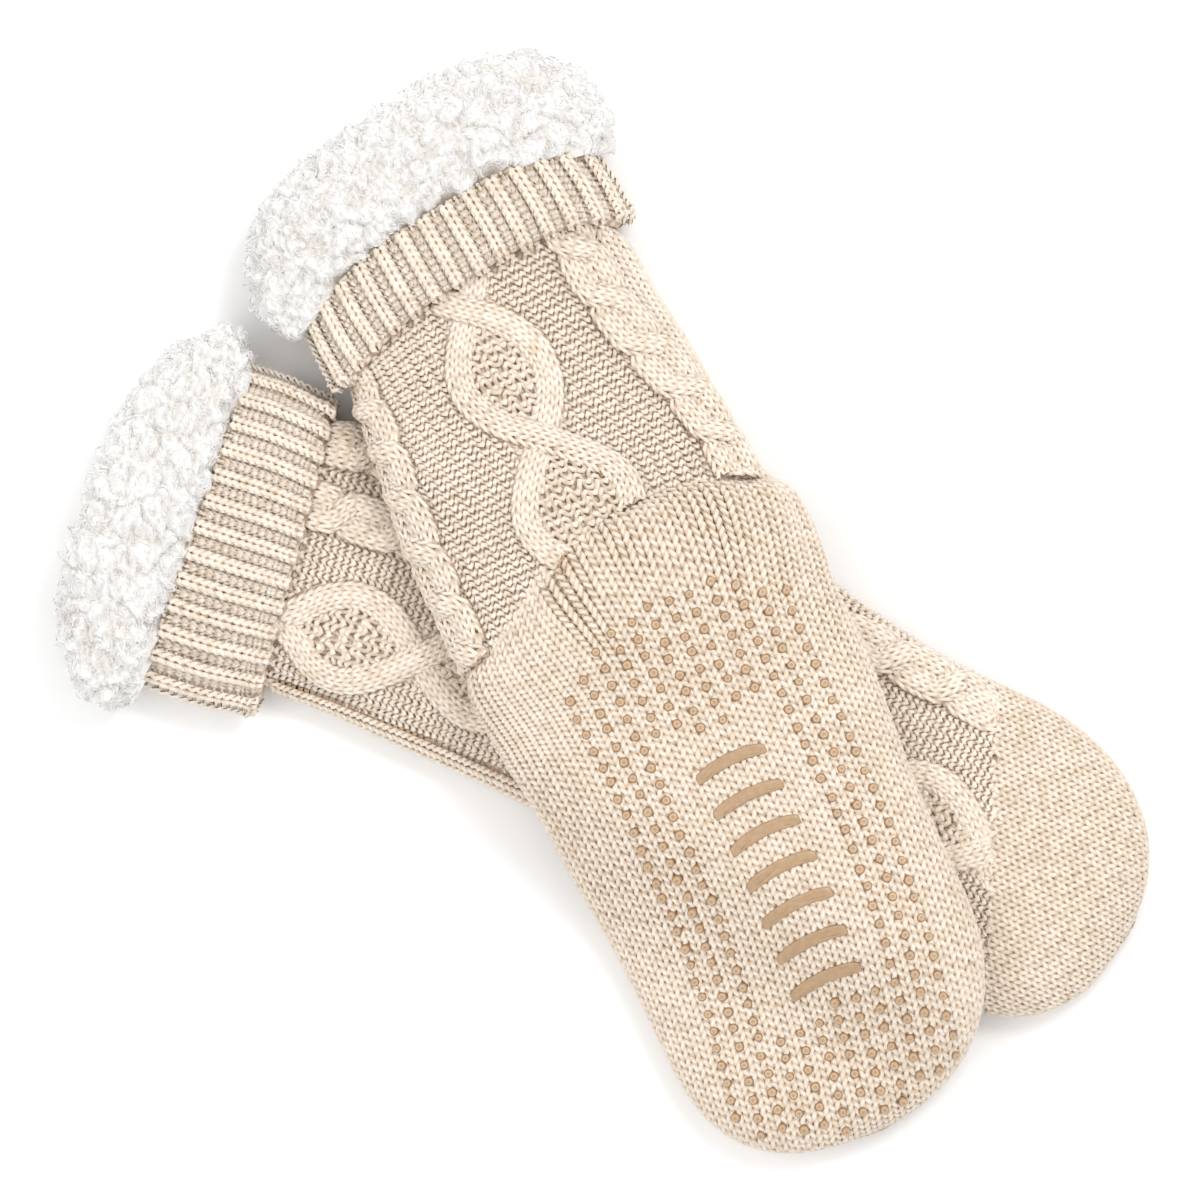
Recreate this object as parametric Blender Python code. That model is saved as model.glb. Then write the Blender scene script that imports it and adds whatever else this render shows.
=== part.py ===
"""A pair of cable-knit slipper socks with fleece collars, lying flat and crossed.

Each sock is a knitted tube closed at the toe, a ribbed cuff turned up over the top of its leg, and a fleece
collar rolled out above the rib. The upper sock lies sole up across the lower one, which lies instep up.
A place on a sock is given by its station, the distance from the mouth along the sock's middle line, and by
its reach, the distance over the top surface from that line, which is positive on the left of the way from
mouth to toe. Lengths in the tables are in millimetres, the objects are in metres, and +Z is up.
"""

import math

import bmesh
import bpy
import numpy as np

MM = 0.001

# Middle of the pair's outline, which becomes the origin.
PAIR_MIDDLE = (0.3, -0.9)

# Knitted wall.
CREST_POWER = 2.8  # how square the top is across
CREST_ROUND = 2.2  # how square it is in height
WAIST_SHARE = 0.38  # height of the widest line, as a share of the thickness
BASE_ROUND = 10.0  # width of the rounded lower edge
SIDE_WALL = 11.0
LINING_GAP = 3.0  # between the two layers of lining where they lie on each other
MOUTH_GAP = 9.0  # between them at the mouth
MOUTH_DEPTH = (70.0, 104.0)  # stations between which the wide gap closes to the narrow one
SLOT_SIDE = 0.7  # how round the lining's slot is at its sides
SLOT_RISE = 0.45  # and how flat over its middle
INNER_STEP = 15.0
INNER_END = 30.0  # the lining's even rings end this far before the toe's tip
INNER_TIP = 10.0  # and its last ring lies this much further
CLEARANCE = 0.5
EDGE_FADE = 8.0  # the relief falls to nothing over this much of the top's edges

# Relief of the knit.
ROPE_HEIGHT = 3.0
ROPE_LIFT = 1.2  # how far the strand in front rises at a crossing, and the other one sinks
STRAND_OFFSET = 0.235  # from the rope's middle to a strand's, as a share of the rope's width
STRAND_RADIUS = 0.265
CROSSING_SHARE = 0.5  # how much of each pitch a crossing takes
BAND_HEIGHT = 2.5
BAND_WIDTH = 9.0
MOSS_HEIGHT = 1.2
RIB_PITCH = 9.6
RIB_HEIGHT = 1.6
HEEL_RISE = 6.0
HEEL_FOLD = 12.0  # distance over which the heel rises behind its fold
HEEL_FADE = 75.0
RISE_OVER_LOWER = 25.4  # height of the upper sock's underside where it lies on the lower one
LYING_FLAT = (38.0, 92.0)  # distances from the lower sock's line between which that height falls to nothing
HIDING_EDGE = (-2.0, 6.0)  # the lower sock's relief ends between these distances inside the upper one

# Mesh density. Columns run along each rope and band, at these shares of its width from its middle.
FINE_STEP = 3.3
PLAIN_STEP = 8.5
ROPE_LINES = (-0.5, -0.4, -0.22, 0.0, 0.22, 0.4, 0.5)
BAND_LINES = (-0.5, -0.34, 0.0, 0.34, 0.5)
FILL_COLUMN = 4.6
PLAIN_COLUMN = 8.0
TUCKED_COLUMNS = 18
LEAST_COLUMN = 0.7
INNER_COLUMNS = 12
BASE_TURNS = (30.0, 62.0, 90.0)  # degrees round the lower edge
TOE_LENGTH = 24.0
TOE_DROP = 20.0  # length over which the toe's thickness closes
TIP_GAP = 0.35  # the last ring stands this far from the tip
COVERED_STEP = 12.0
EDGE_ALLOWANCE = 20.0  # extra width that the rounded sides take in columns
LEAST_TUBE_COLUMNS = 6
TOE_TURNS = (0.0, 0.30, 0.55, 0.74, 0.88, 0.965)  # shares of the way round the toe's edge
CUFF_SHARES = (0.0, 0.12, 0.45, 0.78)  # of the way from the cuff's top to its fold
FOLD_RINGS = ((3.0, -0.9), (0.8, -2.4))  # the fold's roundness: distance from its end, and growth

SPINE_COLUMNS = ("east", "north")
UPPER_SPINE = (
    (-82.5, 173.9),
    (-54.6, 129.6),
    (-41.4, 107.1),
    (-11.8, 46.4),
    (16.1, -13.6),
    (43.9, -70.3),
    (68.9, -120.3),
    (84.6, -153.2),
    (100.3, -187.1),
)
LOWER_SPINE = (
    (-183.9, 40.3),
    (-145.7, 27.1),
    (-108.9, 16.8),
    (-47.5, -4.3),
    (13.2, -30.0),
    (70.3, -56.0),
    (127.4, -85.0),
    (188.1, -115.0),
)

SECTION_COLUMNS = ("station", "left", "right", "base", "crown")
UPPER_KNIT = (
    (42.0, 54.0, 55.0, 5.2, 29.0),
    (71.0, 51.0, 53.0, 5.2, 28.0),
    (78.0, 53.2, 54.2, 0.0, 26.0),
    (100.0, 54.4, 56.8, 0.0, 26.0),
    (120.0, 57.0, 58.6, 0.0, 26.0),
    (150.0, 59.2, 62.3, 0.0, 26.5),
    (168.0, 60.8, 62.4, 0.0, 27.5),
    (192.0, 67.0, 62.8, 0.0, 29.0),
    (222.0, 67.2, 63.4, 0.0, 29.0),
    (250.0, 67.2, 62.2, 0.0, 28.5),
    (276.0, 64.5, 61.4, 0.0, 28.0),
    (300.0, 61.8, 59.8, 0.0, 27.0),
    (340.0, 60.2, 59.4, 0.0, 27.0),
    (405.0, 60.0, 59.8, 0.0, 26.0),
)
LOWER_KNIT = (
    (41.5, 53.0, 53.4, 5.2, 29.0),
    (80.6, 48.4, 46.5, 5.2, 28.0),
    (88.0, 50.5, 46.5, 0.0, 25.0),
    (108.0, 50.9, 47.2, 0.0, 24.0),
    (132.0, 51.5, 49.3, 0.0, 24.0),
    (168.0, 53.9, 50.9, 0.0, 24.0),
    (216.0, 58.6, 53.1, 0.0, 24.0),
    (250.0, 61.6, 54.1, 0.0, 24.0),
    (276.0, 57.4, 54.4, 0.0, 24.0),
    (300.0, 54.6, 54.1, 0.0, 24.0),
    (336.0, 55.2, 53.4, 0.0, 24.0),
    (404.0, 55.2, 53.2, 0.0, 23.0),
)
UPPER_CUFF = (
    (42.0, 59.0, 60.5, 0.0, 36.0),
    (56.0, 59.8, 61.8, 0.0, 36.0),
    (70.2, 58.8, 61.6, 0.0, 34.0),
)
LOWER_CUFF = (
    (41.5, 58.6, 59.0, 0.0, 35.0),
    (60.0, 57.9, 60.0, 0.0, 35.0),
    (79.8, 54.0, 58.2, 0.0, 33.0),
)
FLEECE_COLUMNS = ("station", "left", "right", "crown")
UPPER_FLEECE = (
    (0.0, 66.0, 66.0, 40.0),
    (10.0, 70.5, 70.5, 43.0),
    (24.0, 71.5, 71.5, 43.0),
    (36.0, 68.0, 68.0, 41.0),
    (41.2, 64.5, 64.5, 37.5),
)
LOWER_FLEECE = (
    (0.0, 66.0, 67.0, 40.0),
    (10.0, 70.0, 71.0, 43.0),
    (24.0, 70.0, 72.0, 43.0),
    (36.0, 67.0, 69.5, 41.0),
    (41.0, 63.0, 66.0, 37.0),
)

# How far a ring's sides lie past its middle: bow on both sides, tilt on the left and against it on the right.
BEND_COLUMNS = ("station", "bow", "tilt")
BEND_SIDE = 58.0  # distance across at which a ring has all of its bow
UPPER_BEND = ((0.0, 11.0, 0.0), (42.0, 11.0, 0.0), (70.0, 10.0, -1.0), (95.0, 5.0, -0.5), (130.0, 0.0, 0.0))
LOWER_BEND = ((0.0, 12.0, 1.0), (41.5, 0.0, 2.3), (80.0, 0.0, -2.0), (110.0, 0.0, 0.0))

# Each side of a toe closes on a curve of its own: the left side's row, then the right side's.
TOE_COLUMNS = ("from_station", "power")
UPPER_TOE = ((342.0, 2.1), (350.0, 2.6))
LOWER_TOE = ((336.0, 2.2), (350.0, 2.6))

# The fold where the upper sock's heel bulges over its leg.
HEEL_COLUMNS = ("reach", "station")
HEEL_LINE = (
    (-72.0, 197.0),
    (-42.0, 189.0),
    (-22.0, 178.5),
    (-13.0, 172.5),
    (0.0, 168.5),
    (17.0, 167.0),
    (35.0, 168.0),
    (48.0, 172.5),
    (60.0, 177.0),
    (72.0, 178.5),
)

# Rope cables and diamond panels: the reach of their middle line at two stations, and their size.
ROPE_COLUMNS = ("reach_a", "station_a", "reach_b", "station_b", "width", "crossing_pitch", "first_crossing")
UPPER_ROPES = (
    (37.0, 85.0, 54.0, 165.0, 18.0, 20.2, 91.5),
    (-58.5, 100.0, -61.0, 170.0, 18.0, 20.0, 105.0),
)
LOWER_ROPES = (
    (18.0, 110.0, 46.5, 280.0, 17.0, 21.9, 83.9),
    (42.0, 110.0, 70.0, 280.0, 18.0, 21.9, 88.5),
    (-54.0, 90.0, -56.0, 180.0, 14.0, 10.0, 92.0),
)
DIAMOND_COLUMNS = ("reach_a", "station_a", "reach_b", "station_b", "half_a", "half_b", "pitch", "first_node")
UPPER_DIAMONDS = ((-7.5, 104.0, -3.0, 160.0, 15.5, 19.0, 54.0, 78.5),)
LOWER_DIAMONDS = ((-24.0, 80.0, 0.0, 340.0, 15.5, 15.5, 53.3, 79.0),)

# Stations where the raised pattern starts and ends. The lower sock's end falls back towards the left.
RELIEF_START = 5.0  # the raised pattern grows to its height over this much of the leg
BEFORE_TOE = 6.0  # and falls to nothing over this much before the lower sock's toe
HEEL_BLEND = 3.0  # and this much on both sides of the heel's fold
HEEL_CURVE = 2.4  # how soon the heel's bulge gets steep

# The fleece roll: station and how far out each row of its form lies, 1 on the outside and 0 in the mouth.
ROLL_COLUMNS = ("station", "out")
ROLL_ROWS = (
    (35.0, 1.0),
    (27.0, 1.0),
    (18.0, 1.0),
    (10.0, 0.98),
    (4.0, 0.86),
    (1.2, 0.62),
    (2.2, 0.34),
    (7.0, 0.12),
    (16.0, 0.0),
    (30.0, 0.0),
)
SEAM_SHARES = (0.0, 0.33, 0.66)  # shares of the way out across the end that meets the rib
ROLL_AROUND = 42
ROLL_SIDE = 0.72  # how round the roll is at its sides
ROLL_CROWN = 0.8  # how flat over its top
ROLL_BASE = 0.62  # and over its underside
ROLL_WAIST = 0.42  # height of its widest line, as a share of its thickness
ROLL_SLOT = 0.6  # its mouth's gap is this much higher than the lining's
ROLL_INSET = 1.0
LUMP_HEIGHT = 0.8
LUMP_WAVES = ((7, 1.3, 0.0), (11, -1.7, 1.0), (17, 2.9, 0.0))  # waves round the roll, and their shift by row

PATTERN_ENDS = {"upper": (71.0, 215.0), "lower": (80.6, 368.0)}
TOE_SLANT = 0.45
TOE_LINE = 352.0  # the lower sock's pattern ends here on its middle line
HIDDEN = (184.0, 250.0)  # stations of the lower sock that the upper one hides from side to side

LOOKS = {
    "knit": ((0.80, 0.70, 0.56, 1.0), 0.9),
    "rib": ((0.78, 0.68, 0.54, 1.0), 0.9),
    "fleece": ((0.92, 0.91, 0.88, 1.0), 1.0),
}


def column(table, names, name):
    """One named column of a table as an array."""
    place = names.index(name)
    return np.array([row[place] for row in table], float)


def smooth_line(at, places, values):
    """A smooth curve through the rows of a table."""
    slopes = np.gradient(values, places, axis=0)
    k = np.clip(np.searchsorted(places, at) - 1, 0, len(places) - 2)
    span = places[k + 1] - places[k]
    u = np.clip((at - places[k]) / span, 0.0, 1.0)
    if values.ndim > 1:
        span, u = span[:, None], u[:, None]
    start = (1 + 2 * u) * (1 - u) ** 2 * values[k] + u * (1 - u) ** 2 * span * slopes[k]
    end = u * u * (3 - 2 * u) * values[k + 1] - u * u * (1 - u) * span * slopes[k + 1]
    return start + end


def ease(value, low, high):
    """0 below low and 1 above high, with a soft change between them."""
    u = np.clip((np.asarray(value, float) - low) / (high - low), 0.0, 1.0)
    return u * u * (3 - 2 * u)


class Spine:
    """A sock's middle line, seen from above."""

    def __init__(self, rows):
        points = np.column_stack([column(rows, SPINE_COLUMNS, name) for name in SPINE_COLUMNS])
        lengths = np.r_[0.0, np.cumsum(np.linalg.norm(np.diff(points, axis=0), axis=1))]
        self.stations = np.linspace(0.0, lengths[-1], 406)
        self.points = smooth_line(self.stations, lengths, points)
        ways = np.gradient(self.points, axis=0)
        self.ways = ways / np.linalg.norm(ways, axis=1)[:, None]

    def place(self, station, across):
        """The points at stations and at distances across them, positive on the left."""
        middle = [np.interp(station, self.stations, self.points[:, k]) for k in (0, 1)]
        way = [np.interp(station, self.stations, self.ways[:, k]) for k in (0, 1)]
        return np.stack([middle[0] - across * way[1], middle[1] + across * way[0]], axis=-1)

    def read(self, east, north):
        """The station of each point and its distance across, positive on the left."""
        gap = np.stack([east, north], -1)[..., None, :] - self.points
        nearest = np.argmin((gap**2).sum(-1), axis=-1)
        gap = np.take_along_axis(gap, nearest[..., None, None], axis=-2)[..., 0, :]
        way = self.ways[nearest]
        return self.stations[nearest], way[..., 0] * gap[..., 1] - way[..., 1] * gap[..., 0]


class Form:
    """The outer form of one tube: its sections, its toe and the way it lies."""

    def __init__(self, spine, table, bend, toe=None, lie=None, base_columns=5):
        self.spine = spine
        self.bend = bend
        self.base_columns = base_columns
        self.places = column(table, SECTION_COLUMNS, "station")
        self.table = np.array([row[1:] for row in table], float)
        self.toe = toe
        self.lie = lie or (lambda east, north: np.zeros_like(east))
        self.end = self.places[-1]

    def section(self, station, grow=0.0):
        """(left and right half-widths, base height, crown height), all moved out by grow."""
        left, right, base, crown = smooth_line(np.array([station]), self.places, self.table)[0]
        base = np.interp(station, self.places, self.table[:, 2])
        shrink = 1.0
        if self.toe:
            sides = []
            starts = column(self.toe, TOE_COLUMNS, "from_station")
            powers = column(self.toe, TOE_COLUMNS, "power")
            for start, power in zip(starts, powers):
                turn = np.clip((station - start) / (self.end - start), 0.0, 1.0)
                sides.append((1 - turn**power) ** (1 / power))
            left, right = left * sides[0], right * sides[1]
            edge = np.clip((station - self.end + TOE_DROP) / TOE_DROP, 0.0, 1.0)
            shrink = (1 - edge**CREST_ROUND) ** (1 / CREST_ROUND)
        waist = base + WAIST_SHARE * (crown - base)
        low = waist - (waist - base) * shrink
        high = waist + (crown - waist) * shrink
        return left + grow, right + grow, low - grow, high + grow

    def crest(self, station, grow=0.0):
        """The top of a section from its right edge to its left: (across, height, reach)."""
        left, right, low, high = self.section(station, grow)
        waist = low + WAIST_SHARE * (high - low)
        turn = np.linspace(0.0, math.pi, 181)
        side = np.cos(turn)
        across = -np.sign(side) * np.abs(side) ** (2 / CREST_POWER) * np.where(side > 0, right, left)
        height = waist + (high - waist) * np.sin(turn) ** (2 / CREST_ROUND)
        run = np.r_[0.0, np.cumsum(np.hypot(np.diff(across), np.diff(height)))]
        return across, height, run - np.interp(0.0, across, run)

    def top(self, station, reaches, raised=None, grow=0.0):
        """Points on the top at these reaches, moved out by the relief."""
        across, height, run = self.crest(station, grow)
        a = np.interp(reaches, run, across)
        z = np.interp(reaches, run, height)
        if raised is not None:
            ahead = np.clip(reaches + 1.0, run[0], run[-1])
            behind = np.clip(reaches - 1.0, run[0], run[-1])
            da = np.interp(ahead, run, across) - np.interp(behind, run, across)
            dz = np.interp(ahead, run, height) - np.interp(behind, run, height)
            size = np.hypot(da, dz)
            a = a - dz / size * raised
            z = z + da / size * raised
        return self.lay(station, a, z)

    def bottom(self, station, grow=0.0):
        """Points on the underside from the left edge to the right one, both edges left out."""
        left, right, low, high = self.section(station, grow)
        waist = low + WAIST_SHARE * (high - low)
        inset = min(BASE_ROUND, 0.5 * left, 0.5 * right)
        turns = np.radians(BASE_TURNS)
        edge = inset * (1 - np.cos(turns))
        z = waist - (waist - low) * np.sin(turns)
        flat = np.linspace(left - inset, inset - right, self.base_columns + 1)[1:-1]
        a = np.r_[left - edge, flat, (edge - right)[::-1]]
        return self.lay(station, a, np.r_[z, np.full(len(flat), low), z[::-1]])

    def lay(self, station, across, height):
        """World points in millimetres, bent sideways and raised where the sock lies on something."""
        places, bows, tilts = (column(self.bend, BEND_COLUMNS, name) for name in BEND_COLUMNS)
        bow, tilt = np.interp(station, places, bows), np.interp(station, places, tilts)
        side = across / BEND_SIDE
        flat = self.spine.place(station + bow * np.abs(side) ** 3 + tilt * side, across)
        return np.column_stack([flat, height + self.lie(flat[:, 0], flat[:, 1])])


def rope_middle(station, row):
    """Reach of a rope's middle line."""
    cable = dict(zip(ROPE_COLUMNS, row))
    share = ease(station, cable["station_a"], cable["station_b"])
    return cable["reach_a"] + (cable["reach_b"] - cable["reach_a"]) * share


def rope(station, reach, row):
    """Height of a two-strand rope cable: at each crossing the right strand goes over to the left."""
    cable = dict(zip(ROPE_COLUMNS, row))
    width = cable["width"]
    turn = ((station - cable["first_crossing"]) / cable["crossing_pitch"]) % 1.0 / CROSSING_SHARE
    shift = STRAND_OFFSET * width * (2 * ease(turn, 0.0, 1.0) - 1)
    lift = ROPE_LIFT * math.sin(math.pi * min(turn, 1.0))
    height = 0.0
    for side in (1, -1):
        off = (reach - rope_middle(station, row) - side * shift) / (STRAND_RADIUS * width)
        dome = np.clip(1 - off**2, 0.0, 1.0)
        height = np.maximum(height, (ROPE_HEIGHT + side * lift) * np.sqrt(dome))
    return height


def diamond_bands(station, row):
    """Reaches of the middles of the two bands that cross, the right one first."""
    panel = dict(zip(DIAMOND_COLUMNS, row))
    share = ease(station, panel["station_a"], panel["station_b"])
    middle = panel["reach_a"] + (panel["reach_b"] - panel["reach_a"]) * share
    half = panel["half_a"] + (panel["half_b"] - panel["half_a"]) * share
    least = 0.5 * BAND_WIDTH
    wave = abs(math.sin(math.pi * (station - panel["first_node"]) / panel["pitch"]))
    spread = least + (half - least) * wave
    return middle - spread, middle + spread


def diamonds(station, reach, row):
    """Height of a column of diamonds: two knit bands that cross, with moss stitch between them."""
    right, left = diamond_bands(station, row)
    height = MOSS_HEIGHT * ((reach > right) & (reach < left))
    for middle in (right, left):
        off = (reach - middle) / (0.5 * BAND_WIDTH)
        height = np.maximum(height, BAND_HEIGHT * np.sqrt(np.clip(1 - off**2, 0.0, 1.0)))
    return height


def knit_relief(station, reach, ropes, panels, start):
    """Height of every raised knit form at one station, from the pattern's start."""
    height = np.zeros_like(reach)
    for row in ropes:
        height = np.maximum(height, rope(station, reach, row))
    for row in panels:
        height = np.maximum(height, diamonds(station, reach, row))
    return height * ease(station, start, start + RELIEF_START)


def before_toe(station, reach):
    """1 on the lower sock's pattern and 0 on its plain toe, which starts on a slanting line."""
    return 1 - ease(station + TOE_SLANT * reach, TOE_LINE - BEFORE_TOE, TOE_LINE)


def heel_rise(station, reach):
    """(height of the heel's bulge, 1 on the leg side of its fold and 0 behind it)."""
    line = smooth_line(
        np.clip(reach, HEEL_LINE[0][0], HEEL_LINE[-1][0]),
        column(HEEL_LINE, HEEL_COLUMNS, "reach"),
        column(HEEL_LINE, HEEL_COLUMNS, "station"),
    )
    behind = station - line
    u = np.clip(behind / HEEL_FOLD, 0.0, 1.0)
    rise = HEEL_RISE * (1 - (1 - u) ** HEEL_CURVE) * (1 - ease(behind, HEEL_FOLD, HEEL_FADE))
    return rise, 1 - ease(behind, -HEEL_BLEND, HEEL_BLEND)


def lie_over(spine):
    """The height that the upper sock's underside has over each point."""

    def height(east, north):
        _, away = spine.read(east, north)
        return RISE_OVER_LOWER * (1 - ease(np.abs(away), *LYING_FLAT))

    return height


def zip_loops(faces, one, two):
    """Joins two closed loops of (first index, places round the loop) with quads and triangles."""
    (base_a, at_a), (base_b, at_b) = one, two
    count_a, count_b = len(at_a), len(at_b)
    at_a, at_b = np.r_[at_a, 2.0], np.r_[at_b, 2.0]
    i = j = 0
    while i < count_a or j < count_b:
        next_a = at_a[i + 1] if i < count_a else 9.0
        next_b = at_b[j + 1] if j < count_b else 9.0
        a, b = base_a + i % count_a, base_b + j % count_b
        if abs(next_a - next_b) < 1e-6:
            faces.append((a, base_a + (i + 1) % count_a, base_b + (j + 1) % count_b, b))
            i, j = i + 1, j + 1
        elif next_a < next_b:
            faces.append((a, base_a + (i + 1) % count_a, b))
            i += 1
        else:
            faces.append((a, base_b + (j + 1) % count_b, b))
            j += 1


def add_object(name, points, faces, look):
    """One closed mesh object with its own material."""
    mesh = bpy.data.meshes.new(name)
    shifted = (np.asarray(points) - (*PAIR_MIDDLE, 0.0)) * MM
    mesh.from_pydata(shifted.tolist(), [], faces)
    tidy = bmesh.new()
    tidy.from_mesh(mesh)
    bmesh.ops.recalc_face_normals(tidy, faces=tidy.faces)
    bmesh.ops.triangulate(tidy, faces=tidy.faces)
    tidy.to_mesh(mesh)
    tidy.free()
    mesh.shade_smooth()
    obj = bpy.data.objects.new(name, mesh)
    bpy.context.scene.collection.objects.link(obj)
    mesh.materials.append(material(name, look))
    return obj


def material(name, look):
    """A plain material in the piece's colour."""
    colour, roughness = LOOKS[look]
    made = bpy.data.materials.new(name)
    made.use_nodes = True
    shader = made.node_tree.nodes["Principled BSDF"]
    shader.inputs["Base Color"].default_value = colour
    shader.inputs["Roughness"].default_value = roughness
    return made


def ring(form, station, reaches, places, raised=None, grow=0.0):
    """(points, places round the loop): the top from right to left, then the underside."""
    if raised is not None:
        raised = raised * ease(reaches, reaches[0], reaches[0] + EDGE_FADE)
        raised = raised * (1 - ease(reaches, reaches[-1] - EDGE_FADE, reaches[-1]))
    top = form.top(station, reaches, raised, grow)
    under = form.bottom(station, grow)
    under_places = 1 + np.arange(1, len(under) + 1) / (len(under) + 1)
    return np.vstack([top, under]), np.r_[places, under_places]


def stretch(low, high, step):
    """Even places between two ends, about a step apart, without the ends."""
    count = max(2, int(round((high - low) / step)))
    return np.linspace(low, high, count + 1)[1:-1]


def pattern_columns(form, station, ropes, panels):
    """(reaches, places) of columns that keep to each rope and band, with even ones between them."""
    run = form.crest(station)[2]
    wide = ROPE_COLUMNS.index("width")
    groups = [(rope_middle(station, row), row[wide], ROPE_LINES) for row in ropes]
    for row in panels:
        groups += [(middle, BAND_WIDTH, BAND_LINES) for middle in diamond_bands(station, row)]
    groups.sort()
    reaches, places = [run[0]], [0.0]
    for number, (middle, width, lines) in enumerate(groups, 1):
        add_fill(reaches, places, middle + lines[0] * width, number - 0.3)
        for line in lines:
            reach = middle + line * width
            if run[0] < reach < run[-1] - LEAST_COLUMN and reach > reaches[-1] + LEAST_COLUMN:
                reaches.append(reach)
                places.append(number + 0.6 * line)
    add_fill(reaches, places, run[-1], len(groups) + 1)
    reaches.append(run[-1])
    places.append(len(groups) + 1)
    return np.array(reaches), np.array(places) / places[-1]


def add_fill(reaches, places, reach, place):
    """Adds even columns up to a reach, which is left out."""
    count = int((reach - reaches[-1]) / FILL_COLUMN)
    for share in np.arange(1, count + 1) / (count + 1):
        reaches.append(reaches[-1] + (reach - reaches[-1]) * share)
        places.append(places[-1] + (place - places[-1]) * share)


def thinned(form, station, columns, is_fine):
    """Columns without those that stand close together where nothing is raised."""
    reaches, places = columns
    points = form.top(station, reaches)
    kept = [0]
    for k in range(1, len(reaches) - 1):
        wide = reaches[k] - reaches[kept[-1]] > PLAIN_COLUMN
        if wide or is_fine(station, reaches[k], points[k]):
            kept.append(k)
    kept.append(len(reaches) - 1)
    return reaches[kept], places[kept]


def plain_columns(form, station, pattern, count, grow=0.0):
    """Even columns across the top, closer together round its edges, in step with the pattern's."""
    run = form.crest(station, grow)[2]
    turn = np.linspace(0.0, math.pi, count + 1)
    even = np.linspace(0.0, 1.0, count + 1)
    share = 0.5 * even + 0.5 * (0.5 - 0.5 * np.cos(turn))
    reaches, places = pattern
    shares = (reaches - reaches[0]) / (reaches[-1] - reaches[0])
    return run[0] + share * (run[-1] - run[0]), np.interp(share, shares, places)


def gap_at(station):
    """Height of the gap between the two layers of lining."""
    return MOUTH_GAP + (LINING_GAP - MOUTH_GAP) * ease(station, *MOUTH_DEPTH)


def lining_ring(form, station):
    """The wall's plain inside at one station: a thin slot at mid-height."""
    left, right, low, high = form.section(station)
    gap = gap_at(station)
    middle = 0.5 * (low + high)
    left, right = left - SIDE_WALL, right - SIDE_WALL
    turn = np.linspace(0.0, 2 * math.pi, 2 * INNER_COLUMNS, endpoint=False)
    side, rise = np.cos(turn), np.sin(turn)
    across = -np.sign(side) * np.abs(side) ** SLOT_SIDE * np.where(side > 0, right, left)
    height = middle + 0.5 * gap * np.sign(rise) * np.abs(rise) ** SLOT_RISE
    return form.lay(station, across, height), np.linspace(0.0, 2.0, 2 * INNER_COLUMNS, endpoint=False)


def build_tube(name, form, stations, outer_ring):
    """A sock's wall: outer rings to the toe, and a plain lining that opens at the mouth."""
    points, faces, loops = [], [], []
    first, last = form.places[0], form.end - INNER_END
    inner_stations = [first, *stretch(first, last, INNER_STEP), last, last + INNER_TIP]

    def add(loop):
        loops.append((sum(len(p) for p in points), loop[1]))
        points.append(loop[0])

    for station in reversed(inner_stations):
        add(lining_ring(form, station))
    for station in stations:
        add(outer_ring(station))
    for one, two in zip(loops, loops[1:]):
        zip_loops(faces, one, two)
    for (base, at), reverse in ((loops[0], True), (loops[-1], False)):
        close_end(points, faces, base, len(at), reverse)
    return add_object(name, np.vstack(points), faces, "knit")


def close_end(points, faces, base, count, reverse):
    """Closes a small end loop with a fan to its middle."""
    total = np.vstack(points)
    points.append(total[base : base + count].mean(axis=0)[None])
    for k in range(count):
        corner = (base + k, base + (k + 1) % count, len(total))
        faces.append(corner[::-1] if reverse else corner)


def upper_knit(form):
    """The upper sock's leg and foot, sole up, with cables on the leg and a bulging heel."""
    ends = PATTERN_ENDS["upper"]

    def is_fine(station, reach, _):
        return heel_rise(station, reach)[1] > 0.0

    def outer(station):
        columns = pattern_columns(form, min(station, ends[1]), UPPER_ROPES, UPPER_DIAMONDS)
        if station < ends[0]:
            columns = tucked_columns(form, station)
        elif station <= ends[1]:
            columns = thinned(form, station, columns, is_fine)
        else:
            columns = plain_columns(form, station, columns, tube_columns(form, station))
        rise, on_leg = heel_rise(station, columns[0])
        relief = knit_relief(station, columns[0], UPPER_ROPES, UPPER_DIAMONDS, ends[0])
        return ring(form, station, *columns, rise + relief * on_leg)

    stations = [*tucked_stations(form, UPPER_CUFF), ends[0], ends[0] + 3.0]
    stations += [*stretch(ends[0] + 3.0, ends[1], FINE_STEP), ends[1]]
    stations += [*stretch(ends[1], form.end - TOE_LENGTH, PLAIN_STEP), *toe_stations(form)]
    return build_tube("upper_sock_knit", form, stations, outer)


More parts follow.
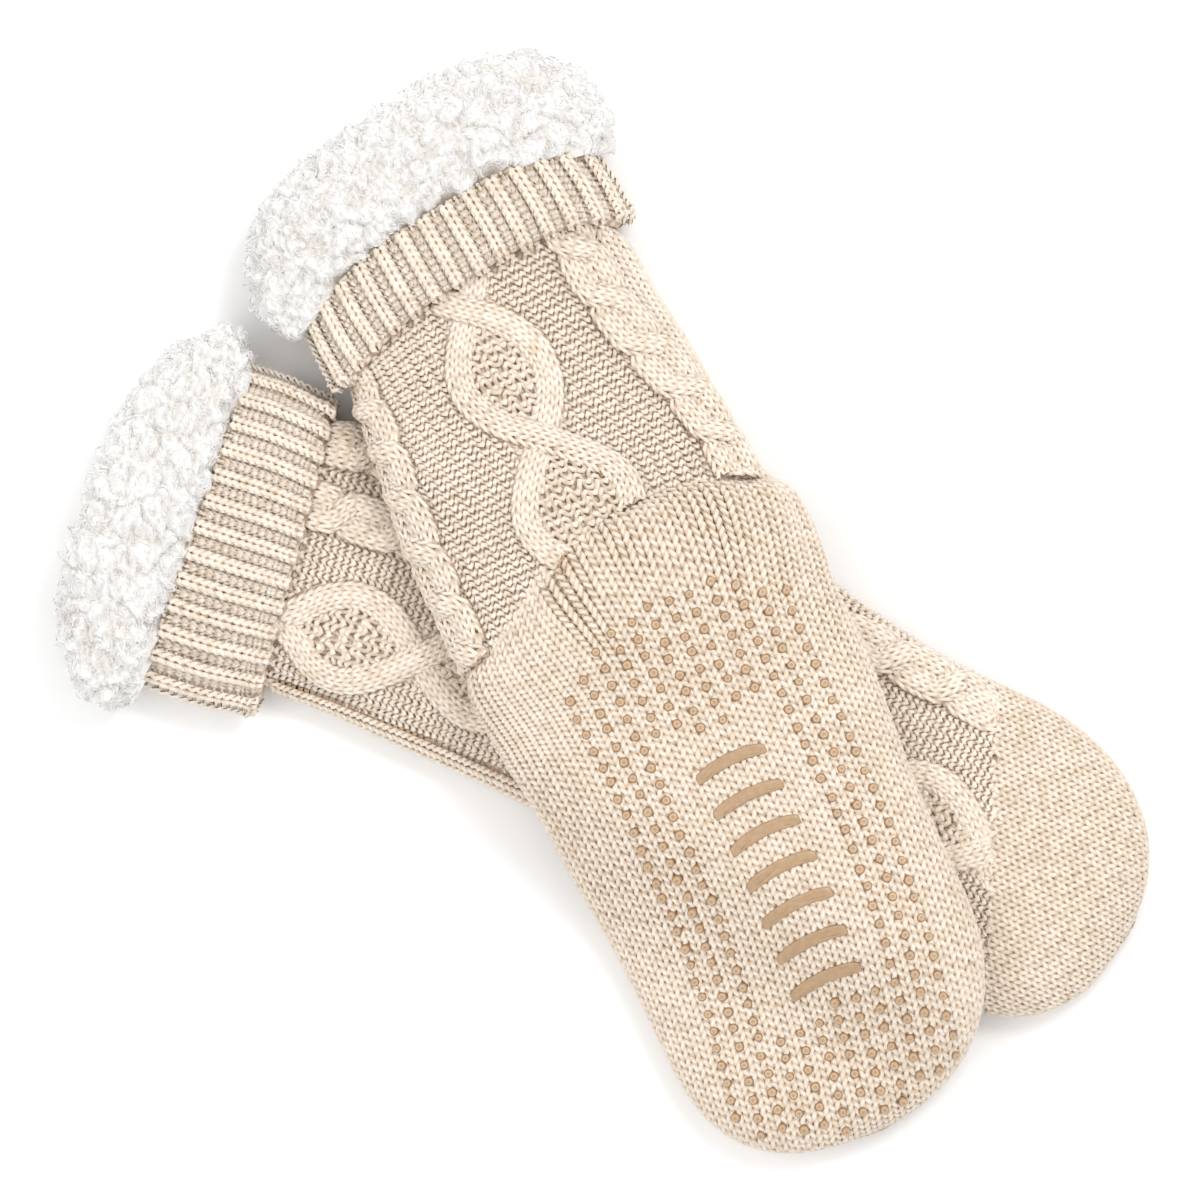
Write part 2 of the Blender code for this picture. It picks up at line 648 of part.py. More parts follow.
def lower_knit(form, cover):
    """The lower sock's leg and foot, instep up, plain where the upper sock hides it."""
    ends = PATTERN_ENDS["lower"]

    def shown(points):
        station, across = cover.spine.read(points[:, 0], points[:, 1])
        sides = np.array([cover.section(s)[:2] for s in station])
        inside = np.where(across > 0, sides[:, 0] - across, sides[:, 1] + across)
        return 1 - ease(inside, *HIDING_EDGE)

    def is_fine(station, reach, place):
        return before_toe(station, reach) > 0.0 and shown(place[None])[0] > 0.0

    def outer(station):
        columns = pattern_columns(form, min(station, ends[1]), LOWER_ROPES, LOWER_DIAMONDS)
        if station < ends[0]:
            columns = tucked_columns(form, station)
        elif station <= ends[1]:
            columns = thinned(form, station, columns, is_fine)
        else:
            columns = plain_columns(form, station, columns, tube_columns(form, station))
        relief = knit_relief(station, columns[0], LOWER_ROPES, LOWER_DIAMONDS, ends[0])
        relief = relief * before_toe(station, columns[0]) * shown(form.top(station, columns[0]))
        return ring(form, station, *columns, relief)

    stations = [*tucked_stations(form, LOWER_CUFF), ends[0], ends[0] + 3.0]
    stations += [*stretch(ends[0] + 3.0, HIDDEN[0], FINE_STEP), HIDDEN[0]]
    stations += [*stretch(*HIDDEN, PLAIN_STEP), HIDDEN[1], *stretch(HIDDEN[1], ends[1], FINE_STEP), ends[1]]
    stations += [*stretch(ends[1], form.end - TOE_LENGTH, PLAIN_STEP), *toe_stations(form)]
    return build_tube("lower_sock_knit", form, stations, outer)


def tucked_stations(form, cuff_table):
    """Stations of the plain top that the cuff covers, where the cuff's inside follows it."""
    first, last = form.places[0], cuff_table[-1][0]
    return [first, *stretch(first, last, COVERED_STEP), last]


def tucked_columns(form, station, grow=0.0):
    """Columns of the plain top under the cuff, and of the cuff's inside."""
    even = (np.array([0.0, 1.0]), np.array([0.0, 1.0]))
    return plain_columns(form, station, even, TUCKED_COLUMNS, grow)


def tube_columns(form, station):
    """How many plain columns a section takes."""
    left, right = form.section(station)[:2]
    return max(LEAST_TUBE_COLUMNS, int(round((left + right + EDGE_ALLOWANCE) / PLAIN_COLUMN)))


def toe_stations(form):
    """Stations round the toe's edge, closer together towards its tip."""
    return [form.end - TOE_LENGTH * (1 - share) for share in TOE_TURNS] + [form.end - TIP_GAP]


def cuff(name, table, knit):
    """A ribbed band turned up over the top of the leg, with a rounded lower fold."""
    form = Form(knit.spine, table, knit.bend, lie=knit.lie, base_columns=knit.base_columns)
    first, last = form.places[0], form.places[-1]
    run = form.crest(0.5 * (first + last))[2]
    ribs = int(round((run[-1] - run[0]) / RIB_PITCH))
    shares = np.linspace(0.0, 1.0, 4 * ribs + 1)
    heights = RIB_HEIGHT * np.maximum(0.0, np.cos(2 * math.pi * ribs * shares)) ** 0.7
    points, faces, loops = [], [], []

    def add(loop):
        loops.append((sum(len(p) for p in points), loop[1]))
        points.append(loop[0])

    rings = [(first + (last - first) * share, 0.0) for share in CUFF_SHARES]
    for station, grow in rings + [(last - back, grow) for back, grow in FOLD_RINGS]:
        span = form.crest(station, grow)[2]
        reaches = span[0] + shares * (span[-1] - span[0])
        add(ring(form, station, reaches, shares, heights * (1.0 + grow / 3.0), grow))
    for station in reversed(tucked_stations(knit, table)):
        add(ring(knit, station, *tucked_columns(knit, station, CLEARANCE), None, CLEARANCE))
    for k, one in enumerate(loops):
        zip_loops(faces, one, loops[(k + 1) % len(loops)])
    return add_object(name, np.vstack(points), faces, "rib")


def fleece_lumps(row, turn):
    """Uneven curls of the fleece, from crossing waves."""
    waves = [np.sin(count * turn + by_row * row + shift) for count, by_row, shift in LUMP_WAVES]
    return LUMP_HEIGHT * sum(waves)


def roll_rings(table, knit, rows, turn):
    """Points of each row of the fleece's roll, round the sock."""
    places = column(table, FLEECE_COLUMNS, "station")
    values = np.array([row[1:] for row in table], float)
    side, rise = np.cos(turn), np.sin(turn)
    left_in, right_in, low_in, high_in = knit.section(knit.places[0])
    slot = np.where(side > 0, right_in, left_in) - SIDE_WALL - ROLL_INSET
    across_in = np.sign(side) * np.abs(side) ** SLOT_SIDE * slot
    gap = MOUTH_GAP + ROLL_SLOT
    height_in = 0.5 * (low_in + high_in) + 0.5 * gap * np.sign(rise) * np.abs(rise) ** SLOT_RISE
    for number, (station, out) in enumerate(rows):
        left, right, crown = smooth_line(np.array([station]), places, values)[0]
        lumps = fleece_lumps(number, turn) * (out > SEAM_SHARES[1]) * (station < places[-1])
        across_out = np.sign(side) * np.abs(side) ** ROLL_SIDE * np.where(side > 0, right, left)
        waist = ROLL_WAIST * crown
        over = waist + (crown - waist) * np.abs(rise) ** ROLL_CROWN
        under = waist * (1 - np.abs(rise) ** ROLL_BASE)
        height_out = np.where(rise > 0, over, under)
        across = across_in + (across_out - across_in) * out + np.sign(side) * lumps * np.abs(side)
        height = height_in + (height_out - height_in) * out + lumps * np.clip(rise, 0.0, 1.0)
        yield knit.lay(station, -across, np.maximum(height, 0.0))


def fleece(name, table, knit):
    """A plump collar round the mouth: its rows run over the roll and back down its inside."""
    seam = table[-1][0]
    rows = [(seam, 1.0), *ROLL_ROWS, *((seam, out) for out in SEAM_SHARES)]
    turn = np.linspace(0.0, 2 * math.pi, ROLL_AROUND, endpoint=False)
    places = np.linspace(0.0, 2.0, ROLL_AROUND, endpoint=False)
    points = list(roll_rings(table, knit, rows, turn))
    loops = [(k * ROLL_AROUND, places) for k in range(len(rows))]
    faces = []
    for k, one in enumerate(loops):
        zip_loops(faces, one, loops[(k + 1) % len(loops)])
    return add_object(name, np.vstack(points), faces, "fleece")


def main():
    for obj in list(bpy.data.objects):
        bpy.data.objects.remove(obj)
    lower_spine, upper_spine = Spine(LOWER_SPINE), Spine(UPPER_SPINE)
    lie = lie_over(lower_spine)
    upper = Form(upper_spine, UPPER_KNIT, UPPER_BEND, UPPER_TOE, lie, base_columns=9)
    lower = Form(lower_spine, LOWER_KNIT, LOWER_BEND, LOWER_TOE, base_columns=4)
    upper_knit(upper)
    lower_knit(lower, upper)
    cuff("upper_sock_cuff", UPPER_CUFF, upper)
    cuff("lower_sock_cuff", LOWER_CUFF, lower)
    fleece("upper_sock_fleece", UPPER_FLEECE, upper)
    fleece("lower_sock_fleece", LOWER_FLEECE, lower)


main()
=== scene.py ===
"""A pair of cable-knit slipper socks with fleece collars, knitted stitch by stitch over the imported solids.

The upper sock lies sole up across the lower one, which lies instep up. A place on a sock is given by its
station, the distance from the mouth along the sock's middle line, and by its reach, the distance over the
surface from that line, which is positive on the left of the way from mouth to toe. Lengths in the tables are
in millimetres.
"""

import math
from collections import namedtuple

import bpy
import numpy as np
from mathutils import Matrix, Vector


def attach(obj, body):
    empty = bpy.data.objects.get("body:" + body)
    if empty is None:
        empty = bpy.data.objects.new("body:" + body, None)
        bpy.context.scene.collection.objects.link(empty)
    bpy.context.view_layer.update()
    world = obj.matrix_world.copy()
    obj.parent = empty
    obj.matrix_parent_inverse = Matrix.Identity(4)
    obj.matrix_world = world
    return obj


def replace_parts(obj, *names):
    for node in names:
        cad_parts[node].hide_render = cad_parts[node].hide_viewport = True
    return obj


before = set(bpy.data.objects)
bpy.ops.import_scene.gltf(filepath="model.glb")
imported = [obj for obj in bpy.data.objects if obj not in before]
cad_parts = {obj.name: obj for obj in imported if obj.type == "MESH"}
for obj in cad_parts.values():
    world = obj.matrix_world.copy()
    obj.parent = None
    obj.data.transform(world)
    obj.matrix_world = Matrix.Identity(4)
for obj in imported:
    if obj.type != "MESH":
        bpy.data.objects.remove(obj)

bl_info = {
    "name": "Slipper sock knitting",
    "version": (1, 0, 0),
    "blender": (4, 5, 0),
    "location": "3D View > Sidebar > Socks",
    "description": "Knits a pair of cable-knit slipper socks over their plain solids",
    "category": "Add Mesh",
}

MM = 0.001
PAIR_MIDDLE = (0.3, -0.9)

# The solids' own sizes.
CREST_POWER = 2.8
CREST_ROUND = 2.2
WAIST_SHARE = 0.38
BASE_ROUND = 10.0
SIDE_WALL = 11.0
LINING_GAP = 3.0
MOUTH_GAP = 9.0
MOUTH_DEPTH = (70.0, 104.0)
ROPE_HEIGHT = 3.0
ROPE_LIFT = 1.2
STRAND_OFFSET = 0.235
STRAND_RADIUS = 0.265
CROSSING_SHARE = 0.5
BAND_HEIGHT = 2.5
BAND_WIDTH = 9.0
MOSS_HEIGHT = 1.2
RIB_PITCH = 9.6
RIB_HEIGHT = 1.6
HEEL_RISE = 6.0
HEEL_FOLD = 12.0
HEEL_FADE = 75.0
RISE_OVER_LOWER = 25.4
LYING_FLAT = (38.0, 92.0)
HIDING_EDGE = (-2.0, 6.0)
TOE_SLANT = 0.45
TOE_LINE = 352.0
TOE_DROP = 20.0
BEND_SIDE = 58.0

UPPER_SPINE = (
    (-82.5, 173.9),
    (-54.6, 129.6),
    (-41.4, 107.1),
    (-11.8, 46.4),
    (16.1, -13.6),
    (43.9, -70.3),
    (68.9, -120.3),
    (84.6, -153.2),
    (100.3, -187.1),
)
LOWER_SPINE = (
    (-183.9, 40.3),
    (-145.7, 27.1),
    (-108.9, 16.8),
    (-47.5, -4.3),
    (13.2, -30.0),
    (70.3, -56.0),
    (127.4, -85.0),
    (188.1, -115.0),
)

# Sections: station, left, right, base, crown.
UPPER_KNIT = (
    (42.0, 54.0, 55.0, 5.2, 29.0),
    (71.0, 51.0, 53.0, 5.2, 28.0),
    (78.0, 53.2, 54.2, 0.0, 26.0),
    (100.0, 54.4, 56.8, 0.0, 26.0),
    (120.0, 57.0, 58.6, 0.0, 26.0),
    (150.0, 59.2, 62.3, 0.0, 26.5),
    (168.0, 60.8, 62.4, 0.0, 27.5),
    (192.0, 67.0, 62.8, 0.0, 29.0),
    (222.0, 67.2, 63.4, 0.0, 29.0),
    (250.0, 67.2, 62.2, 0.0, 28.5),
    (276.0, 64.5, 61.4, 0.0, 28.0),
    (300.0, 61.8, 59.8, 0.0, 27.0),
    (340.0, 60.2, 59.4, 0.0, 27.0),
    (405.0, 60.0, 59.8, 0.0, 26.0),
)
LOWER_KNIT = (
    (41.5, 53.0, 53.4, 5.2, 29.0),
    (80.6, 48.4, 46.5, 5.2, 28.0),
    (88.0, 50.5, 46.5, 0.0, 25.0),
    (108.0, 50.9, 47.2, 0.0, 24.0),
    (132.0, 51.5, 49.3, 0.0, 24.0),
    (168.0, 53.9, 50.9, 0.0, 24.0),
    (216.0, 58.6, 53.1, 0.0, 24.0),
    (250.0, 61.6, 54.1, 0.0, 24.0),
    (276.0, 57.4, 54.4, 0.0, 24.0),
    (300.0, 54.6, 54.1, 0.0, 24.0),
    (336.0, 55.2, 53.4, 0.0, 24.0),
    (404.0, 55.2, 53.2, 0.0, 23.0),
)
UPPER_CUFF = (
    (42.0, 59.0, 60.5, 0.0, 36.0),
    (56.0, 59.8, 61.8, 0.0, 36.0),
    (70.2, 58.8, 61.6, 0.0, 34.0),
)
LOWER_CUFF = (
    (41.5, 58.6, 59.0, 0.0, 35.0),
    (60.0, 57.9, 60.0, 0.0, 35.0),
    (79.8, 54.0, 58.2, 0.0, 33.0),
)

# Collars: station, left, right, crown.
UPPER_FLEECE = (
    (0.0, 66.0, 66.0, 40.0),
    (10.0, 70.5, 70.5, 43.0),
    (24.0, 71.5, 71.5, 43.0),
    (36.0, 68.0, 68.0, 41.0),
    (41.2, 64.5, 64.5, 37.5),
)
LOWER_FLEECE = (
    (0.0, 66.0, 67.0, 40.0),
    (10.0, 70.0, 71.0, 43.0),
    (24.0, 70.0, 72.0, 43.0),
    (36.0, 67.0, 69.5, 41.0),
    (41.0, 63.0, 66.0, 37.0),
)

# Bends: station, bow, tilt. Toes: from_station, power, for the left side and the right.
UPPER_BEND = ((0.0, 11.0, 0.0), (42.0, 11.0, 0.0), (70.0, 10.0, -1.0), (95.0, 5.0, -0.5), (130.0, 0.0, 0.0))
LOWER_BEND = ((0.0, 12.0, 1.0), (41.5, 0.0, 2.3), (80.0, 0.0, -2.0), (110.0, 0.0, 0.0))
UPPER_TOE = ((342.0, 2.1), (350.0, 2.6))
LOWER_TOE = ((336.0, 2.2), (350.0, 2.6))

# Heel fold: reach, station.
HEEL_LINE = (
    (-72.0, 197.0),
    (-42.0, 189.0),
    (-22.0, 178.5),
    (-13.0, 172.5),
    (0.0, 168.5),
    (17.0, 167.0),
    (35.0, 168.0),
    (48.0, 172.5),
    (60.0, 177.0),
    (72.0, 178.5),
)

Rope = namedtuple("Rope", "reach_a station_a reach_b station_b width pitch first")
UPPER_ROPES = (
    Rope(37.0, 85.0, 54.0, 165.0, 18.0, 20.2, 91.5),
    Rope(-58.5, 100.0, -61.0, 170.0, 18.0, 20.0, 105.0),
)
LOWER_ROPES = (
    Rope(18.0, 110.0, 46.5, 280.0, 17.0, 21.9, 83.9),
    Rope(42.0, 110.0, 70.0, 280.0, 18.0, 21.9, 88.5),
    Rope(-54.0, 90.0, -56.0, 180.0, 14.0, 10.0, 92.0),  # the ridge along the lower edge
)
Diamonds = namedtuple("Diamonds", "reach_a station_a reach_b station_b half_a half_b pitch first")
UPPER_DIAMONDS = Diamonds(-7.5, 104.0, -3.0, 160.0, 15.5, 19.0, 54.0, 78.5)
LOWER_DIAMONDS = Diamonds(-24.0, 80.0, 0.0, 340.0, 15.5, 15.5, 53.3, 79.0)

# Where each pattern starts under its cuff, and the part of the lower one that lies under the upper sock.
UPPER_START = 71.0
LOWER_START = 80.6
HIDDEN = (184.0, 250.0)
UPPER_LEG = (70.0, 200.0)
LOWER_LEG = (79.0, HIDDEN[0] + 14.0)
LOWER_FOOT = (HIDDEN[1] - 14.0, 384.0)
SHOWN_INSIDE = 5.0  # the lower sock's yarn ends this far inside the upper one's outline

# Fabrics: width of a stitch, height of a course, yarn radius.
Fabric = namedtuple("Fabric", "width height radius")
GROUND = Fabric(5.1, 2.7, 0.98)
MOSS = Fabric(5.4, 3.1, 1.12)
CABLE = Fabric(3.1, 3.5, 0.86)
SOLE = Fabric(4.5, 3.05, 1.0)
FOOT_TOE = Fabric(4.0, 2.85, 0.9)
RIB = Fabric(3.3, 2.8, 0.82)
EDGE = Fabric(4.4, 2.6, 1.0)
GROUND_WIDTH = 184.0
SOLE_WIDTH = 196.0
LOWER_TOE_WIDTH = 176.0

RIDGE_PITCH = 12.0  # a rope with shorter crossings than this is a plain ridge of slanting stitches
RIDGE_HEIGHT = 3.4
RIDGE_COVER = 5.6  # the ground stops this far from a ridge's middle
ROPE_COVER = 1.6  # and where a rope stands this high
BAND_COVER = 0.36  # and this share of a band's width from its middle
# How high the yarn of a cable stands, as shares of its form's height and of its lift at a crossing.
STRAND_STAND = (1.25, 1.4)
BAND_STAND = (1.1, 1.3)
BAND_CROSSING = 7.0  # how long a crossing of two bands is
BAND_UNDER = -0.9  # how far the lower band sinks there
YARN_ROUND = 13.0  # how far the yarn goes on round under a sock's edges
YARN_CHANGE = 0.05  # how much its thickness changes

# A stitch's loop, plain and purl: how far it reaches up, how far its legs swing, and how thick it is.
LOOP_POINTS = 10  # points along the yarn in each stitch
PLAIN_REACH, PURL_REACH = 0.92, 1.04
PLAIN_SWING, PURL_SWING = 0.26, 0.05
LOOP_RISE = 0.58
PURL_THIN, PURL_SWELL = 0.26, 0.36
MOSS_JITTER, GROUND_JITTER = 0.19, 0.06
YARN_SINK = 0.55  # the yarn's middle plane lies this far under the solid's surface
WALL_SINK = 1.5  # and the plain wall beneath it this far
LINING_SINK = 3.2  # and the lining's face inside it this far

# The cuffs' rib.
FOLD_DEPTH = 5.0
RIB_WARP = 0.29  # how far the plain stitch spreads over the two purl ones
RIB_SWELL = 0.32  # how much thicker its yarn is
RIB_BULGE = (1.6, 0.9)  # how high a rib stands, and how much higher near the fold
RIB_SINK = 0.8
RIB_SCALLOP = 2.4

# The heel's fan of stitches.
HEEL_START = 167.0
HEEL_FAN = 80.0
FAN_SPREAD = 14.0
HEEL_COURSES = 56


def smooth_line(at, places, values):
    """A smooth curve through the rows of a table."""
    slopes = np.gradient(values, places, axis=0)
    k = np.clip(np.searchsorted(places, at) - 1, 0, len(places) - 2)
    span = places[k + 1] - places[k]
    u = np.clip((at - places[k]) / span, 0.0, 1.0)
    if values.ndim > 1:
        span, u = span[:, None], u[:, None]
    start = (1 + 2 * u) * (1 - u) ** 2 * values[k] + u * (1 - u) ** 2 * span * slopes[k]
    end = u * u * (3 - 2 * u) * values[k + 1] - u * u * (1 - u) * span * slopes[k + 1]
    return start + end


def bulge(value, power):
    """A power of a value that keeps its sign."""
    return np.sign(value) * np.abs(value) ** power


def ease(value, low, high):
    """0 below low and 1 above high, with a soft change between them."""
    u = np.clip((np.asarray(value, float) - low) / (high - low), 0.0, 1.0)
    return u * u * (3 - 2 * u)


class Spine:
    """A sock's middle line, seen from above."""

    def __init__(self, rows):
        points = np.array(rows, float)
        lengths = np.r_[0.0, np.cumsum(np.linalg.norm(np.diff(points, axis=0), axis=1))]
        self.stations = np.linspace(0.0, lengths[-1], 406)
        self.points = smooth_line(self.stations, lengths, points)
        ways = np.gradient(self.points, axis=0)
        self.ways = ways / np.linalg.norm(ways, axis=1)[:, None]

    def place(self, station, across):
        """The points at stations and at distances across them, positive on the left."""
        middle = [np.interp(station, self.stations, self.points[:, k]) for k in (0, 1)]
        way = [np.interp(station, self.stations, self.ways[:, k]) for k in (0, 1)]
        return np.stack([middle[0] - across * way[1], middle[1] + across * way[0]], axis=-1)

    def read(self, east, north):
        """The station of each point and its distance across, positive on the left."""
        shape = np.shape(east)
        flat = np.stack([np.ravel(east), np.ravel(north)], -1)
        nearest = np.empty(len(flat), int)
        for k in range(0, len(flat), 20000):
            gap = flat[k : k + 20000, None, :] - self.points
            nearest[k : k + 20000] = np.argmin((gap**2).sum(-1), axis=-1)
        gap = flat - self.points[nearest]
        way = self.ways[nearest]
        across = way[:, 0] * gap[:, 1] - way[:, 1] * gap[:, 0]
        return self.stations[nearest].reshape(shape), across.reshape(shape)


class Slope:
    """Heights that the upper sock's underside has over the lower one, kept on a grid."""

    def __init__(self, spine):
        self.side = np.arange(-230.0, 231.0, 2.0)
        east, north = np.meshgrid(self.side, self.side, indexing="ij")
        away = spine.read(east, north)[1]
        self.heights = RISE_OVER_LOWER * (1 - ease(np.abs(away), *LYING_FLAT))

    def __call__(self, east, north):
        count = len(self.side) - 1
        x = np.clip((east - self.side[0]) / 2.0, 0, count - 1e-6)
        y = np.clip((north - self.side[0]) / 2.0, 0, count - 1e-6)
        return look_up(self.heights, x, y)


def look_up(grid, x, y):
    """Values between the points of a grid, by their fractional rows and columns."""
    i, j = np.floor(x).astype(int), np.floor(y).astype(int)
    p, q = x - i, y - j
    low = grid[i, j] * (1 - q) + grid[i, j + 1] * q
    high = grid[i + 1, j] * (1 - q) + grid[i + 1, j + 1] * q
    return low * (1 - p) + high * p


class Skin:
    """A tube's outer form, looked up by station and by reach all the way round it."""

    STEP = 0.5
    LIMIT = 150.0

    def __init__(self, spine, table, bend, toe=None, lie=None):
        self.spine, self.toe, self.lie = spine, toe, lie
        self.bend = np.array(bend, float)
        self.places = np.array([row[0] for row in table], float)
        self.table = np.array([row[1:] for row in table], float)
        self.end = self.places[-1]
        body = np.arange(self.places[0], self.end - TOE_DROP, 1.0)
        tip = self.end - TOE_DROP + TOE_DROP * np.sin(np.linspace(0.0, 0.492 * math.pi, 70))
        self.stations = np.r_[body, tip] if toe else np.arange(self.places[0], self.end + 0.6, 0.5)
        self.reaches = np.arange(-self.LIMIT, self.LIMIT + self.STEP, self.STEP)
        shape = (len(self.stations), len(self.reaches))
        self.across, self.height = np.empty(shape), np.empty(shape)
        self.edges = np.empty((shape[0], 4))
        for k, station in enumerate(self.stations):
            across, height, run, self.edges[k] = self.around(station)
            self.across[k] = np.interp(self.reaches, run, across)
            self.height[k] = np.interp(self.reaches, run, height)

    def section(self, station):
        """(left and right half-widths, base height, crown height)."""
        left, right, base, crown = smooth_line(np.array([station]), self.places, self.table)[0]
        base = np.interp(station, self.places, self.table[:, 2])
        shrink = 1.0
        if self.toe:
            sides = []
            for start, power in self.toe:
                turn = np.clip((station - start) / (self.end - start), 0.0, 1.0)
                sides.append((1 - turn**power) ** (1 / power))
            left, right = left * sides[0], right * sides[1]
            edge = np.clip((station - self.end + TOE_DROP) / TOE_DROP, 0.0, 1.0)
            shrink = (1 - edge**CREST_ROUND) ** (1 / CREST_ROUND)
        waist = base + WAIST_SHARE * (crown - base)
        return left, right, waist - (waist - base) * shrink, waist + (crown - waist) * shrink

    def around(self, station):
        """(across, height, reach) from the underside's middle round and back, and where its parts end."""
        left, right, low, high = self.section(station)
        waist = low + WAIST_SHARE * (high - low)
        turn = np.linspace(0.0, math.pi, 181)
        side = np.cos(turn)
        top = -bulge(side, 2 / CREST_POWER) * np.where(side > 0, right, left)
        rise = waist + (high - waist) * np.sin(turn) ** (2 / CREST_ROUND)
        inset = min(BASE_ROUND, 0.5 * left, 0.5 * right)
        turns = np.linspace(0.0, 0.5 * math.pi, 12)[1:]
        drop = inset * (1 - np.cos(turns))
        down = waist - (waist - low) * np.sin(turns)
        middle = 0.5 * (left - right)
        across = np.r_[middle, (drop - right)[::-1], top, left - drop, middle]
        height = np.r_[low, down[::-1], rise, down, low]
        run = np.r_[0.0, np.cumsum(np.hypot(np.diff(across), np.diff(height)) + 1e-9)]
        first = 1 + len(drop)
        run = run - np.interp(0.0, top, run[first : first + len(top)])
        return across, height, run, (run[0], run[first], run[first + len(top) - 1], run[-1])

    def edge(self, station, which):
        """Reach of the underside's middle (0, 3) and of the top's edges (1, 2)."""
        return np.interp(station, self.stations, self.edges[:, which])

    def lay(self, station, across, height):
        """Points bent sideways, and raised where the sock lies on something."""
        bow, tilt = [np.interp(station, self.bend[:, 0], self.bend[:, k]) for k in (1, 2)]
        side = across / BEND_SIDE
        flat = self.spine.place(station + bow * np.abs(side) ** 3 + tilt * side, across)
        lift = self.lie(flat[..., 0], flat[..., 1]) if self.lie else 0.0
        return np.concatenate([flat, (height + lift)[..., None]], axis=-1)

    def bare(self, station, reach):
        """Points on the plain surface."""
        x = np.interp(station, self.stations, np.arange(len(self.stations)))
        x = np.clip(x, 0, len(self.stations) - 1 - 1e-6)
        y = np.clip((reach + self.LIMIT) / self.STEP, 0, len(self.reaches) - 1 - 1e-6)
        return self.lay(station, look_up(self.across, x, y), look_up(self.height, x, y))

    def points(self, station, reach, off):
        """(points, outward directions) at a distance off the plain surface."""
        ahead = self.bare(np.minimum(station + 0.7, self.stations[-1]), reach)
        back = self.bare(np.minimum(station, self.stations[-1]) - 0.7, reach)
        along = ahead - back
        over = self.bare(station, reach + 0.8) - self.bare(station, reach - 0.8)
        out = np.cross(along, over)
        out /= np.linalg.norm(out, axis=-1)[..., None] + 1e-12
        return self.bare(station, reach) + out * off[..., None], out


def rope_middle(station, row):
    """Reach of a rope's middle line."""
    return row.reach_a + (row.reach_b - row.reach_a) * ease(station, row.station_a, row.station_b)


def rope_strand(station, row, number):
    """(reach, lift) of one of a rope's two strands, which take turns to cross over."""
    turns = (station - row.first) / row.pitch
    turn = turns % 1.0 / CROSSING_SHARE
    side = np.where((np.floor(turns) + number) % 2 == 0, 1.0, -1.0)
    shift = STRAND_OFFSET * row.width * (2 * ease(turn, 0.0, 1.0) - 1)
    lift = ROPE_LIFT * np.sin(math.pi * np.minimum(turn, 1.0))
    return rope_middle(station, row) + side * shift, side * lift


def dome(off):
    """1 in the middle of a round strand and 0 at its sides, which lie at 1 and -1."""
    return np.sqrt(np.clip(1 - off**2, 0.0, 1.0))


def rope(station, reach, row):
    """Height of a two-strand rope, or of a plain ridge."""
    if row.pitch < RIDGE_PITCH:
        return RIDGE_HEIGHT * dome((reach - rope_middle(station, row)) / (0.5 * row.width))
    height = np.zeros(np.broadcast(station, reach).shape)
    for number in (0, 1):
        middle, lift = rope_strand(station, row, number)
        strand = (ROPE_HEIGHT + lift) * dome((reach - middle) / (STRAND_RADIUS * row.width))
        height = np.maximum(height, strand)
    return height


def diamond_bands(station, row):
    """Reaches of the middles of the two bands, the right one first."""
    middle, half, wave = diamond_wave(station, row)
    least = 0.5 * BAND_WIDTH
    spread = least + (half - least) * np.abs(wave)
    return middle - spread, middle + spread


def diamond_wave(station, row):
    """(middle reach, half-width, sine of the way along) of a column of diamonds."""
    share = ease(station, row.station_a, row.station_b)
    wave = np.sin(math.pi * (station - row.first) / row.pitch)
    middle = row.reach_a + (row.reach_b - row.reach_a) * share
    return middle, row.half_a + (row.half_b - row.half_a) * share, wave


def diamonds(station, reach, row):
    """Height of a column of diamonds with moss stitch between their bands."""
    right, left = diamond_bands(station, row)
    height = MOSS_HEIGHT * ((reach > right) & (reach < left))
    for middle in (right, left):
        height = np.maximum(height, BAND_HEIGHT * dome((reach - middle) / (0.5 * BAND_WIDTH)))
    return height


def pattern(station, reach, ropes, panel, start):
    """Height of every raised knit form."""
    height = diamonds(station, reach, panel)
    for row in ropes:
        height = np.maximum(height, rope(station, reach, row))
    return height * ease(station, start, start + 5.0)


def heel_line(reach):
    """Station of the heel's fold at a reach."""
    rows = np.array(HEEL_LINE, float)
    return smooth_line(np.clip(reach, rows[0, 0], rows[-1, 0]), rows[:, 0], rows[:, 1])


def heel_rise(station, reach):
    """Height of the heel's bulge behind its fold."""
    behind = station - heel_line(reach)
    u = np.clip(behind / HEEL_FOLD, 0.0, 1.0)
    return HEEL_RISE * (1 - (1 - u) ** 2.4) * (1 - ease(behind, HEEL_FOLD, HEEL_FADE))


